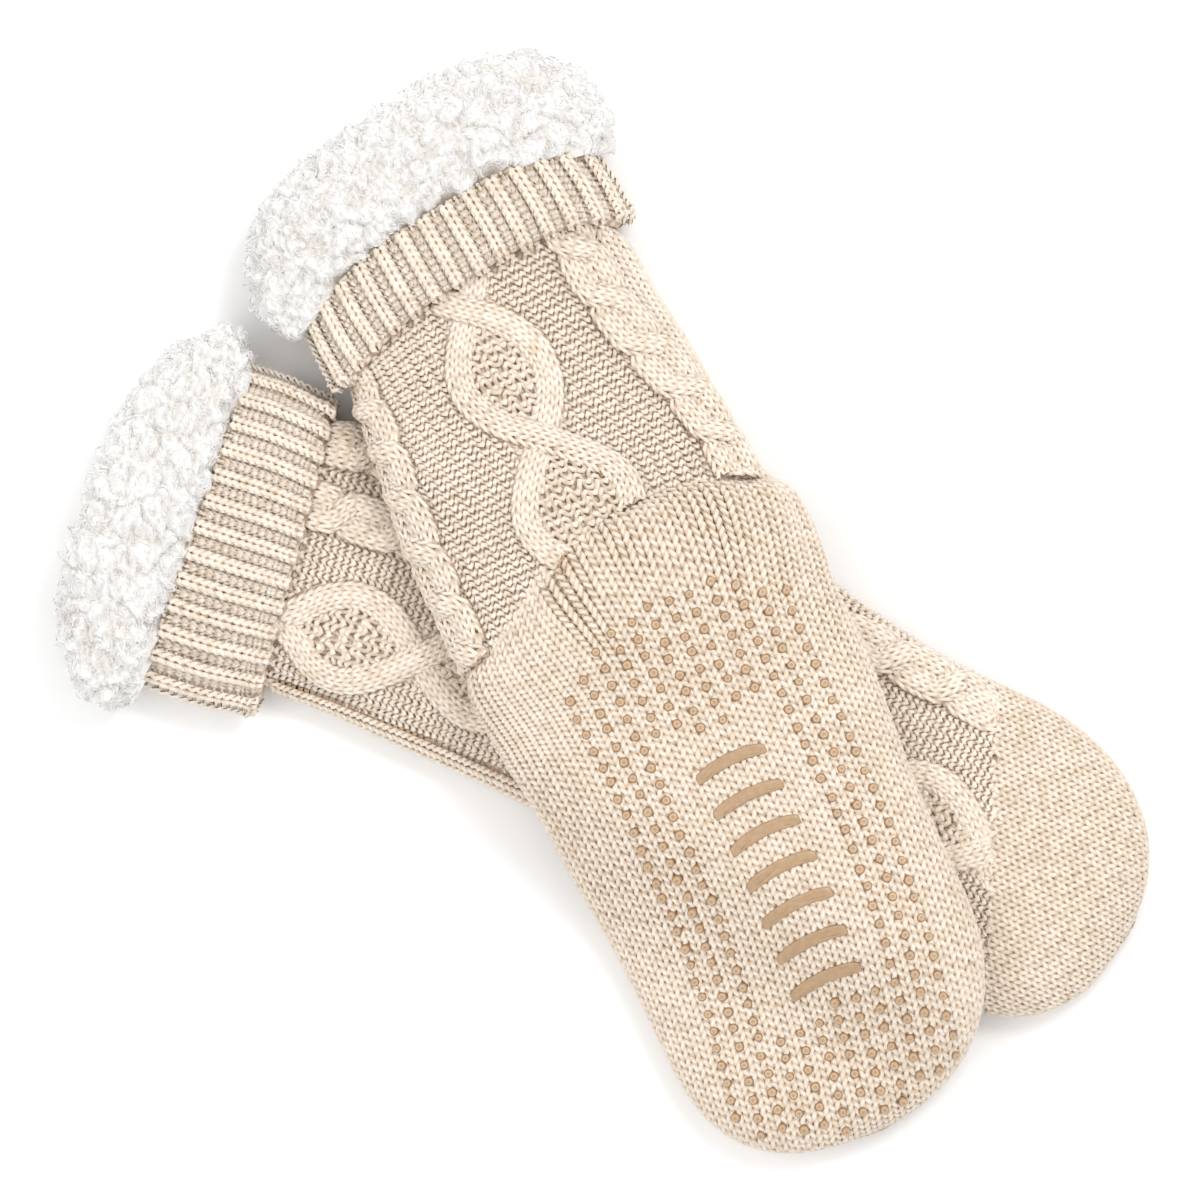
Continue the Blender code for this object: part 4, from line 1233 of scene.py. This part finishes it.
def lay_lower_toe(strands, socks):
    """Plain knit over the lower sock's toe, where it shows."""
    skin = socks.lower
    run, stations = crown_stations(skin, 318.0)
    courses = int((run[-1] + 12.0) / FOOT_TOE.height)
    patch = loops(courses, int(LOWER_TOE_WIDTH / FOOT_TOE.width), FOOT_TOE, knit_face, 600)
    station = np.minimum(np.interp(patch[0], run, stations), skin.stations[-1])
    reach = patch[1]
    keep = in_reach(skin, station, reach) & (station + TOE_SLANT * reach > TOE_LINE - 5.0)
    keep &= (station < skin.stations[-1] - 0.02) & (socks.inside(skin.bare(station, reach)) < SHOWN_INSIDE)
    lay_patch(strands, skin, patch, station, reach, 0.0 * reach, keep, FOOT_TOE.radius, 601)


class SOCKS_OT_sole(bpy.types.Operator):
    """Knits the upper sock's heel, sole and toe, and the lower sock's toe"""

    bl_idname = "socks.sole"
    bl_label = "Sole and toes"

    def execute(self, context):
        socks = pair()
        made = yarn_material("Knit_plain", context.scene.sock_colours)
        stretches = (("upper_heel_knit", (0, HEEL_COURSES)), ("upper_toe_knit", (HEEL_COURSES, None)))
        for name, courses in stretches:
            strands = Strands()
            lay_sole(strands, socks.upper, courses)
            dress(strands.build(name), made)
        strands = Strands()
        lay_lower_toe(strands, socks)
        dress(strands.build("lower_toe_knit"), made)
        return {"FINISHED"}


def rib_height(share, ribs):
    """Height of the ribs at a share of the way across the cuff."""
    return RIB_HEIGHT * np.maximum(0.0, np.cos(2 * math.pi * ribs * share)) ** 0.7


def fold_drop(station, last):
    """How far the cuff's face falls away at its lower fold."""
    u = np.clip((station - last + FOLD_DEPTH) / FOLD_DEPTH, 0.0, 1.0)
    return FOLD_DEPTH * (1 - np.sqrt(np.clip(1 - u * u, 0.0, 1.0)))


def cuff_meshes(name, skin, knit):
    """(band, ribs): a closed thin band with the cuff's form, and the rib knit over it."""
    first, last = skin.places[0], skin.places[-1]
    middle = 0.5 * (first + last)
    ribs = int(round((skin.edge(middle, 2) - skin.edge(middle, 1)) / RIB_PITCH))
    count = 176
    share = np.linspace(0.0, 1.0, count, endpoint=False)
    rings, marks = [], []

    def add(form, station, sink, relief):
        low, high = form.edge(station, 0), form.edge(station, 3)
        reach = low + share * (high - low)
        place = np.full(count, station)
        right, left = form.edge(station, 1), form.edge(station, 2)
        ribbed = rib_height((reach - right) / (left - right), ribs) if relief else 0.0 * reach
        ribbed = ribbed * edge_fade(form, place, reach) * relief
        out = form.points(place, reach, 0.0 * reach)[1]
        down = ease(-out[:, 2], 0.3, 0.9)
        got = form.points(place, reach, ribbed - sink * (1 - down))[0]
        got[:, 2] = np.maximum(got[:, 2], 0.0)
        rings.append(got)
        marks.append(np.stack([place, reach, np.ones(count)], -1))

    for station in np.linspace(first + 0.4, last - FOLD_DEPTH, 10):
        add(skin, station, WALL_SINK + 0.5, 1.0)
    for u in (0.3, 0.6, 0.85, 0.98):
        drop = FOLD_DEPTH * (1 - math.sqrt(1 - u * u))
        add(skin, last - FOLD_DEPTH + FOLD_DEPTH * u, WALL_SINK + 0.5 + drop, 1.0 - u)
    for station in np.linspace(last - 1.5, first + 0.4, 8):
        add(knit, station, -1.2, 0.0)
    quads = ring_quads(len(rings), count, closed=True)
    band = add_mesh(name + "_band", np.vstack(rings), quads, np.vstack(marks))
    wales = 3 * ribs + 7
    courses = int((last - first) / RIB.height) + 1
    patch = loops(courses, wales, RIB, rib_face, 700)
    station = np.clip(first + patch[0], first + 0.3, last)
    right, left = skin.edge(station, 1), skin.edge(station, 2)
    stitches = patch[1] / RIB.width + 0.5 * wales - 3.5
    place = (stitches + RIB_WARP * np.sin(2 * math.pi * stitches / 3)) / (3 * ribs)
    reach = right + place * (left - right)
    ribbed = rib_height(place, ribs) / RIB_HEIGHT
    near_fold = ease(station, last - 9.0, last - 2.0)
    station = station - RIB_SCALLOP * (1 - ribbed) * near_fold
    base = (RIB_BULGE[0] + RIB_BULGE[1] * near_fold) * RIB_HEIGHT * ribbed
    base = base - RIB_SINK - fold_drop(station, last)
    keep = in_reach(skin, station, reach, 12.0)
    strands = Strands()
    lay_patch(strands, skin, patch, station, reach, base, keep, RIB.radius * (1 + RIB_SWELL * ribbed), 701)
    return band, strands.build(name + "_ribs")


class SOCKS_OT_cuffs(bpy.types.Operator):
    """Knits the ribbed cuffs"""

    bl_idname = "socks.cuffs"
    bl_label = "Cuffs"

    def execute(self, context):
        socks = pair()
        back = wall_material("Rib_back", context.scene.sock_colours)
        made = yarn_material("Knit_rib", context.scene.sock_colours, (0.0, 0.68))
        for name, skin, knit in (
            ("upper_cuff", socks.upper_cuff, socks.upper),
            ("lower_cuff", socks.lower_cuff, socks.lower),
        ):
            node = name.replace("_cuff", "_sock_cuff")
            band, ribs = cuff_meshes(name, skin, knit)
            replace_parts(dress(band, back), node)
            dress(ribs, made)
        return {"FINISHED"}


# The way over a collar's roll from its outer foot into the mouth: station, out.
COLLAR_ROWS = (
    (41.0, 1.0),
    (35.0, 1.0),
    (27.0, 1.0),
    (18.0, 1.0),
    (10.0, 0.98),
    (4.0, 0.86),
    (1.2, 0.62),
    (2.2, 0.34),
    (7.0, 0.12),
    (16.0, 0.0),
    (30.0, 0.0),
    (41.0, 0.0),
)
COLLAR_ENDS = (0.8, 41.0)
COLLAR_GRID = (118, 440)
COLLAR_DEPTH = 24.0  # from the collar's outside to the mouth
COLLAR_WAIST = 0.42
# How square the collar and the mouth are, seen along the sock.
OUTER_SIDE, OUTER_CROWN, OUTER_BASE = 0.72, 0.8, 0.62
MOUTH_SIDE, MOUTH_RISE = 0.7, 0.45
# The lining inside the leg, down one face and back behind it: station, how far behind.
LINING_ROWS = ((46.0, 0.0), (60.0, 0.0), (80.0, 0.0), (104.0, 0.0), (104.0, 1.0), (70.0, 1.0), (45.0, 1.0))
FLEECE_SINK = 3.3  # the clumps' feet lie this far under the solid's surface


def collar_form(skin, table, station, out, turn):
    """Points of the collar's roll: out is 1 on its outside and 0 in the mouth, turn goes round the sock."""
    places = np.array([row[0] for row in table], float)
    values = np.array([row[1:] for row in table], float)
    shape = station.shape
    left, right, crown = smooth_line(station.ravel(), places, values).T.reshape(3, *shape)
    side, rise = np.cos(turn), np.sin(turn)
    inner = skin.section(skin.places[0])
    wide = np.where(side > 0, right, left)
    slot = np.where(side > 0, inner[1], inner[0]) - SIDE_WALL - 1.0
    outer = bulge(side, OUTER_SIDE) * wide
    mouth = bulge(side, MOUTH_SIDE) * slot
    waist = COLLAR_WAIST * crown
    over = waist + (crown - waist) * np.abs(rise) ** OUTER_CROWN
    outer_height = np.where(rise > 0, over, waist * (1 - np.abs(rise) ** OUTER_BASE))
    mouth_height = 0.5 * (inner[2] + inner[3]) + 0.5 * (MOUTH_GAP + 0.6) * bulge(rise, MOUTH_RISE)
    across = -(mouth + (outer - mouth) * out)
    return skin.lay(station, across, mouth_height + (outer_height - mouth_height) * out)


def collar_meshes(name, skin, table, height, seed):
    """(roll, curls): the collar's lumpy roll, and curls of fleece over it."""
    rows = np.array(COLLAR_ROWS, float)
    knots = np.r_[0.0, np.cumsum(np.hypot(np.diff(rows[:, 0]), COLLAR_DEPTH * np.diff(rows[:, 1])))]
    station, out = smooth_line(np.linspace(0.0, knots[-1], COLLAR_GRID[0]), knots, rows).T
    even = even_turns(skin, table, np.linspace(0.0, 2 * math.pi, COLLAR_GRID[1], endpoint=False))
    grid_s, grid_t = np.meshgrid(station, even, indexing="ij")
    grid_o = np.meshgrid(np.clip(out, 0.0, 1.0), even, indexing="ij")[0]
    points = collar_form(skin, table, np.clip(grid_s, *COLLAR_ENDS), grid_o, grid_t)
    outs = grid_outs(points)
    noise = np.random.default_rng(seed)
    lump = fleece_lumps(points, noise)
    hold = ease(grid_o, 0.02, 0.25)
    raised = points + outs * ((height * lump - FLEECE_SINK) * hold)[..., None]
    raised[..., 2] = np.maximum(raised[..., 2], 0.0)
    # The clumps' height also sets the painted shade: the fleece is greyer and warmer where it sinks between
    # clumps.
    marks = np.stack([grid_t, lump, lump], -1)
    inside = lining_rings(skin, even)
    rings = np.concatenate([raised, inside])
    flat = 0 * inside[..., 0]
    marks = np.concatenate([marks, np.stack([flat, flat, 0.7 + flat], -1)])
    quads = ring_quads(len(rings), COLLAR_GRID[1], closed=True)
    roll = add_mesh(name + "_roll", rings.reshape(-1, 3), quads, marks.reshape(-1, 3))
    strands = Strands(FIBRE_TURNS)
    open_air = (outs[..., 2] > -0.5) & (grid_o > 0.2)
    places, directions, lumps = raised[open_air], grid_outs(raised)[open_air], lump[open_air]
    picks = pick_spread(places, FIBRE_GAP, noise)
    lay_fibres(strands, places[picks], directions[picks], lumps[picks], noise)
    return roll, strands.build(name + "_curls")


# Curls of the fleece in two sizes: their spread, how far they reach, and how high they stand.
CURLS = ((8.2, 4.9, 1.0), (3.4, 2.0, 0.42))
# What bends the curls out of round: the width and the size of the waves.
WARPS = ((13.0, 2.2), (5.0, 0.9))
WAVES = 9


def soft_noise(points, scale, noise):
    """Smooth noise about a scale wide, from waves in random directions."""
    ways = noise.normal(0.0, 1.0, (WAVES, 3))
    ways *= (2 * math.pi / scale) / np.linalg.norm(ways, axis=1)[:, None]
    return sum(np.sin(points @ way + turn) for way, turn in zip(ways, noise.uniform(0.0, 6.3, WAVES))) / 3.0


def fleece_lumps(points, noise):
    """0 to about 1: uneven curled clumps, each with smaller ones on it."""
    flat = points.reshape(-1, 3)
    warped = flat.copy()
    for scale, size in WARPS:
        warped += size * np.stack([soft_noise(flat, scale, noise) for _ in range(3)], -1)
    height = 0.0
    for gap, reach, size in CURLS:
        seeds = flat[pick_spread(flat, gap, noise)]
        reaches = reach * noise.uniform(0.8, 1.25, len(seeds))
        best = np.empty(len(flat))
        for k in range(0, len(flat), 3000):
            away = np.sqrt(((warped[k : k + 3000, None] - seeds) ** 2).sum(-1)) / reaches
            best[k : k + 3000] = np.exp(-(away**2)).max(axis=1)
        height = height + size * best
    height += 0.10 * soft_noise(flat, 2.2, noise)
    return (height / 1.25).reshape(points.shape[:2])


def even_turns(skin, table, turn):
    """Turns round the collar at even distances."""
    station, out = np.full(turn.shape, 20.0), np.ones(turn.shape)
    points = collar_form(skin, table, station, out, turn)
    steps = np.linalg.norm(np.roll(points, -1, axis=0) - points, axis=1)
    run = np.r_[0.0, np.cumsum(steps)]
    return np.interp(np.linspace(0.0, run[-1], len(turn), endpoint=False), run, np.r_[turn, 2 * math.pi])


def grid_outs(points):
    """Outward directions of a grid that closes in its second way."""
    over = np.roll(points, -1, axis=1) - np.roll(points, 1, axis=1)
    along = np.gradient(points, axis=0)
    out = np.cross(over, along)
    return out / (np.linalg.norm(out, axis=-1)[..., None] + 1e-12)


def pick_spread(points, gap, noise):
    """Indices of points in random order, none nearer than a gap to one before."""
    order = noise.permutation(len(points))
    cells, picks = {}, []
    for k in order:
        cell = tuple(np.floor(points[k] / gap).astype(int))
        near = [
            points[m]
            for x in (-1, 0, 1)
            for y in (-1, 0, 1)
            for z in (-1, 0, 1)
            for m in cells.get((cell[0] + x, cell[1] + y, cell[2] + z), ())
        ]
        if near and (((np.array(near) - points[k]) ** 2).sum(-1) < gap * gap).any():
            continue
        cells.setdefault(cell, []).append(k)
        picks.append(k)
    return np.array(picks)


def lining_rings(skin, turn):
    """The lining inside the leg: down one face, and back a little behind it."""
    rings = []
    for station, grow in LINING_ROWS:
        left, right, low, high = skin.section(station)
        gap = MOUTH_GAP + (LINING_GAP - MOUTH_GAP) * ease(station, *MOUTH_DEPTH) + 2 * grow
        side, rise = np.cos(turn), np.sin(turn)
        across = -bulge(side, MOUTH_SIDE) * (np.where(side > 0, right, left) - SIDE_WALL + grow)
        height = 0.5 * (low + high) + 0.5 * gap * bulge(rise, MOUTH_RISE)
        rings.append(skin.lay(np.full(turn.shape, station), across, height))
    return np.array(rings)


FIBRE_TURNS = np.radians((-80.0, 0.0, 80.0))
FIBRE_POINTS = 5
FIBRE_GAP = 1.25
FIBRE_RADIUS = (0.22, 0.42)
FIBRE_LENGTH = (2.4, 5.0)
FIBRE_BEND = (0.8, 2.8)
FIBRE_RISE = (0.1, 0.75)


def lay_fibres(strands, seeds, outs, lumps, noise):
    """Fine curved wisps of fleece that lie over the clumps."""
    count = len(seeds)
    side = np.cross(outs, noise.normal(0.0, 1.0, (count, 3)))
    side /= np.linalg.norm(side, axis=1)[:, None] + 1e-9
    over = np.cross(outs, side)
    share = np.linspace(0.0, 1.0, FIBRE_POINTS)[None, :]
    bend = noise.uniform(*FIBRE_BEND, (count, 1)) * noise.choice((-1.0, 1.0), (count, 1))
    step = noise.uniform(*FIBRE_LENGTH, (count, 1)) / (FIBRE_POINTS - 1)
    angle = bend * (share - 0.5)
    run_side = np.cumsum(np.cos(angle), axis=1) * step
    run_over = np.cumsum(np.sin(angle), axis=1) * step
    run_side -= run_side.mean(axis=1, keepdims=True)
    run_over -= run_over.mean(axis=1, keepdims=True)
    arch = np.sin(math.pi * share)
    rise = noise.uniform(*FIBRE_RISE, (count, 1)) * arch - 0.35 * (1 - arch)
    lines = seeds[:, None] + side[:, None] * run_side[..., None] + over[:, None] * run_over[..., None]
    lines = lines + outs[:, None] * rise[..., None]
    normals = np.broadcast_to(outs[:, None], lines.shape)
    keep = np.ones(lines.shape[:2], bool)
    radius = noise.uniform(*FIBRE_RADIUS, (count, 1)) * (0.25 + 0.75 * arch)
    # Painted shade: wisps on lower parts of the clumps are darker, and every wisp is darker on its sides.
    strands.add(lines, normals, keep, radius, (0.45 + 0.55 * lumps[:, None]) * np.ones(arch.shape))


class SOCKS_OT_fleece(bpy.types.Operator):
    """Makes the fleece collars and the lining in the mouths"""

    bl_idname = "socks.fleece"
    bl_label = "Fleece"

    def execute(self, context):
        socks = pair()
        made = fleece_material("Fleece", context.scene.sock_colours)
        height = context.scene.sock_sizes.fleece_height / MM
        for name, skin, table, seed in (
            ("upper_collar", socks.upper, UPPER_FLEECE, 800),
            ("lower_collar", socks.lower, LOWER_FLEECE, 900),
        ):
            node = name.replace("_collar", "_sock_fleece")
            roll, curls = collar_meshes(name, skin, table, height, seed)
            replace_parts(dress(roll, made), node)
            dress(curls, made)
        return {"FINISHED"}


# Grip dots: columns across the sole, and the stations that they fill.
DOT_PITCH = 6.6
DOT_COLUMN = 7.6
DOT_MIDDLE = 4.4
DOT_TURNS = 12
# From a dot's foot to its crown: how far out, how high, and its painted shade, dark at the rim and lightest
# in a painted highlight ring near the top.
DOT_LEVELS = (
    (1.0, -0.9, 0.0),
    (1.0, 0.1, 0.0),
    (0.9, 0.55, 0.1),
    (0.74, 0.86, 0.55),
    (0.5, 1.0, 1.0),
    (0.3, 0.92, 0.6),
)
DOT_CAP = 0.88
GRIP_LIFT = 0.35  # the rubber stands this far over the knit's surface
DOT_COLUMNS = range(-5, 7)
SIDE_COLUMNS = (-2, 3)  # columns past these run the sole's whole length
HEEL_BLOCK = (202.0, 250.0)
TOE_BLOCK = (358.0, 401.5)

# Tread bars in the middle of the sole.
BAR_STATIONS = (263.0, 347.0)
BAR_COUNT = 7
BAR_LENGTH = 27.0
BAR_WIDTH = 4.6
BAR_BOW = 2.2
BAR_MIDDLE = 7.5
BAR_TURNS = 40
BAR_LEVELS = ((1.0, -0.7), (1.0, 0.45), (0.93, 0.8), (0.78, 0.97), (0.4, 1.0))
BAR_SQUARE = 0.35


def dot_places():
    """(stations, reaches) of the grip dots."""
    places = []
    for number in DOT_COLUMNS:
        out = max(0.0, abs(number - 0.5) - 2.0) / 3.5
        first = HEEL_BLOCK[0] + 17.0 * out**1.2
        last = TOE_BLOCK[1] - (18.0 if number < 0 else 7.0) * out**1.3
        reach = DOT_MIDDLE + DOT_COLUMN * number
        pitch = DOT_PITCH + 0.006 * reach
        stations = np.arange(first + 1.1 * (number % 3), last, pitch)
        if SIDE_COLUMNS[0] <= number <= SIDE_COLUMNS[1]:
            stations = stations[(stations < HEEL_BLOCK[1]) | (stations > TOE_BLOCK[0] - 1.5 * (number % 2))]
        places += [(station, reach + sole_drift(station)) for station in stations]
    return np.array(places)


def grip_dots(skin, radius, high):
    """Domed rubber dots on the sole, in one mesh."""
    station, reach = dot_places().T
    count = len(station)
    noise = np.random.default_rng(12)
    station = station + noise.normal(0.0, 0.3, count)
    reach = reach + noise.normal(0.0, 0.3, count)
    size = noise.uniform(0.9, 1.06, count)
    angle = np.linspace(0.0, 2 * math.pi, DOT_TURNS, endpoint=False)

    def on_sole(s, r, up):
        base = heel_rise(s, r) * edge_fade(skin, s, r)
        return skin.points(s, r, base + GRIP_LIFT + high * up)[0]

    points, marks = [], []
    # Each level carries its painted shade; the crown point in the middle gets a mid value.
    for out, up, shade in DOT_LEVELS:
        s = station[:, None] + (size * radius * out)[:, None] * np.cos(angle)
        r = reach[:, None] + (size * radius * out)[:, None] * np.sin(angle)
        points.append(on_sole(s, r, up * size[:, None]))
        marks.append(np.full(s.shape, shade))
    body = np.stack(points, axis=1).reshape(count, -1, 3)
    body = np.concatenate([body, on_sole(station, reach, DOT_CAP * size)[:, None]], axis=1)
    shade = np.concatenate([np.stack(marks, axis=1).reshape(count, -1), np.full((count, 1), 0.5)], axis=1)
    each = body.shape[1]
    last = each - 1 - DOT_TURNS
    fan = [(last + (k + 1) % DOT_TURNS, last + k, each - 1) for k in range(DOT_TURNS)]
    shift = (np.arange(count) * each)[:, None, None]
    quads = (ring_quads(len(DOT_LEVELS), DOT_TURNS)[:, ::-1][None] + shift).reshape(-1, 4)
    extra = (np.array(fan)[None] + shift).reshape(-1, 3)
    lay = np.zeros((count * each, 3))
    lay[:, 2] = shade.ravel()
    return add_mesh("grip_dots", body.reshape(-1, 3), quads, lay, extra)


class SOCKS_OT_grips(bpy.types.Operator):
    """Makes the rubber dots and tread bars on the upper sock's sole"""

    bl_idname = "socks.grips"
    bl_label = "Grips"

    def execute(self, context):
        sizes = context.scene.sock_sizes
        made = rubber_material("Rubber", context.scene.sock_colours)
        dots = grip_dots(pair().upper, sizes.dot_radius / MM, sizes.dot_height / MM)
        for obj in (dots, tread_bars(pair().upper, sizes.bar_height / MM)):
            dress(obj, made)
        return {"FINISHED"}


def tread_bars(skin, high):
    """Plain rounded bars across the middle of the sole."""
    points, quads, extra, marks = [], [], [], []
    turn = np.linspace(0.0, 2 * math.pi, BAR_TURNS, endpoint=False)
    along, across = bulge(np.sin(turn), BAR_SQUARE), bulge(np.cos(turn), BAR_SQUARE)
    for k, station in enumerate(np.linspace(*BAR_STATIONS, BAR_COUNT)):
        start = k * (len(BAR_LEVELS) * BAR_TURNS + 1)
        middle = BAR_MIDDLE + sole_drift(station) * 0.6
        for inset, up in BAR_LEVELS:
            trim = 0.5 * BAR_WIDTH * (1 - inset)
            s = station + along * (0.5 * BAR_WIDTH - trim) + BAR_BOW * across**2
            r = middle + across * (0.5 * BAR_LENGTH - trim)
            points.append(skin.points(s, r, heel_rise(s, r) + GRIP_LIFT + high * up)[0])
            # Painted shade: darkest at the bar's foot; its sides and top a little lighter than the rubber's
            # tan.
            marks.append(np.full(BAR_TURNS, 0.0 if inset > 0.95 else 0.55))
        s, r = np.array([station]), np.array([middle])
        points.append(skin.points(s, r, heel_rise(s, r) + GRIP_LIFT + high)[0])
        marks.append(np.full(1, 0.6))
        quads.append(ring_quads(len(BAR_LEVELS), BAR_TURNS)[:, ::-1] + start)
        last = start + (len(BAR_LEVELS) - 1) * BAR_TURNS
        extra += [(last + (j + 1) % BAR_TURNS, last + j, last + BAR_TURNS) for j in range(BAR_TURNS)]
    shade = np.concatenate(marks)
    lay = np.stack([0 * shade, 0 * shade, shade], -1)
    return add_mesh("tread_bars", np.vstack(points), np.vstack(quads), lay, extra)


class SOCKS_OT_cuts(bpy.types.Operator):
    """Does nothing; no flat sizes of the knitted pieces are stated"""

    bl_idname = "socks.cuts"
    bl_label = "Cuts"

    def execute(self, context):
        return {"FINISHED"}


FLOOR_REACH = 4.0
VIEW_MIDDLE = (-1.371, 0.9)  # the place on the floor that the camera looks down on
# Lamps: name, place, size, share of the key light's power.
LAMPS = (("key", (0.75, 1.0, 2.0), 0.8, 1.0), ("side", (-1.2, -0.2, 2.0), 1.4, 0.5))


class SOCKS_OT_stage(bpy.types.Operator):
    """Sets the floor, the lights and the camera"""

    bl_idname = "socks.stage"
    bl_label = "Stage"

    def execute(self, context):
        scene = context.scene
        settings = scene.sock_stage
        mesh = bpy.data.meshes.new("floor")
        corners = [(-FLOOR_REACH, -FLOOR_REACH, 0), (FLOOR_REACH, -FLOOR_REACH, 0)]
        mesh.from_pydata(corners + [(-x, -y, 0) for x, y, _ in corners], [], [(0, 1, 2, 3)])
        floor = bpy.data.objects.new("floor", mesh)
        scene.collection.objects.link(floor)
        floor.location.z = -0.0002
        look = Look("Floor", 0.8)
        tint = look.ramp(look.noise(3.0, 2.0), (0.3, (0.93, 0.93, 0.93)), (0.7, (0.95, 0.95, 0.95)))
        look.links.new(tint, look.shader.inputs["Base Color"])
        mesh.materials.append(look.made)

        camera = bpy.data.objects.new("camera", bpy.data.cameras.new("camera"))
        scene.collection.objects.link(camera)
        camera.data.sensor_width = 36.0
        camera.data.lens = 36.0 * settings.distance / settings.frame_width
        camera.data.clip_end = 60.0
        camera.location = (VIEW_MIDDLE[0] * MM, VIEW_MIDDLE[1] * MM, settings.distance)
        scene.camera = camera

        for name, place, size, share in LAMPS:
            light = bpy.data.lights.new(name, "AREA")
            light.shape, light.size, light.energy = "SQUARE", size, share * settings.key
            lamp = bpy.data.objects.new(name, light)
            scene.collection.objects.link(lamp)
            lamp.location = place
            way = -np.array(place) / np.linalg.norm(place)
            lamp.rotation_euler = Vector(way).to_track_quat("-Z", "Y").to_euler()
        world = bpy.data.worlds.new("sky")
        world.use_nodes = True
        back = world.node_tree.nodes["Background"]
        back.inputs["Color"].default_value = (1.0, 1.0, 1.0, 1.0)
        back.inputs["Strength"].default_value = settings.fill
        scene.world = world
        scene.view_settings.view_transform = "Standard"
        return {"FINISHED"}


OPERATORS = (
    SOCKS_OT_stage,
    SOCKS_OT_walls,
    SOCKS_OT_ground,
    SOCKS_OT_cables,
    SOCKS_OT_sole,
    SOCKS_OT_cuffs,
    SOCKS_OT_fleece,
    SOCKS_OT_grips,
    SOCKS_OT_cuts,
)


class SOCKS_PT_panel(bpy.types.Panel):
    """Lists the steps that make the pair"""

    bl_idname = "SOCKS_PT_panel"
    bl_label = "Slipper socks"
    bl_space_type = "VIEW_3D"
    bl_region_type = "UI"
    bl_category = "Socks"

    def draw(self, context):
        layout = self.layout
        for group in (context.scene.sock_colours, context.scene.sock_sizes, context.scene.sock_stage):
            for name in group.bl_rna.properties.keys():
                if name not in ("rna_type", "name"):
                    layout.prop(group, name)
        for operator in OPERATORS:
            layout.operator(operator.bl_idname)


CLASSES = (SockColours, SockSizes, StageSettings, *OPERATORS, SOCKS_PT_panel)


def register():
    """Adds the settings, the steps and the panel."""
    for item in CLASSES:
        bpy.utils.register_class(item)
    bpy.types.Scene.sock_colours = bpy.props.PointerProperty(type=SockColours)
    bpy.types.Scene.sock_sizes = bpy.props.PointerProperty(type=SockSizes)
    bpy.types.Scene.sock_stage = bpy.props.PointerProperty(type=StageSettings)


def unregister():
    """Takes them out again."""
    del bpy.types.Scene.sock_stage
    del bpy.types.Scene.sock_sizes
    del bpy.types.Scene.sock_colours
    for item in reversed(CLASSES):
        bpy.utils.unregister_class(item)


def main():
    """Makes the pair."""
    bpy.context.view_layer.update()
    register()
    bpy.ops.socks.stage()
    bpy.ops.socks.walls()
    bpy.ops.socks.ground()
    bpy.ops.socks.cables()
    bpy.ops.socks.sole()
    bpy.ops.socks.cuffs()
    bpy.ops.socks.fleece()
    bpy.ops.socks.grips()
    bpy.ops.socks.cuts()


if __name__ == "__main__":
    main()
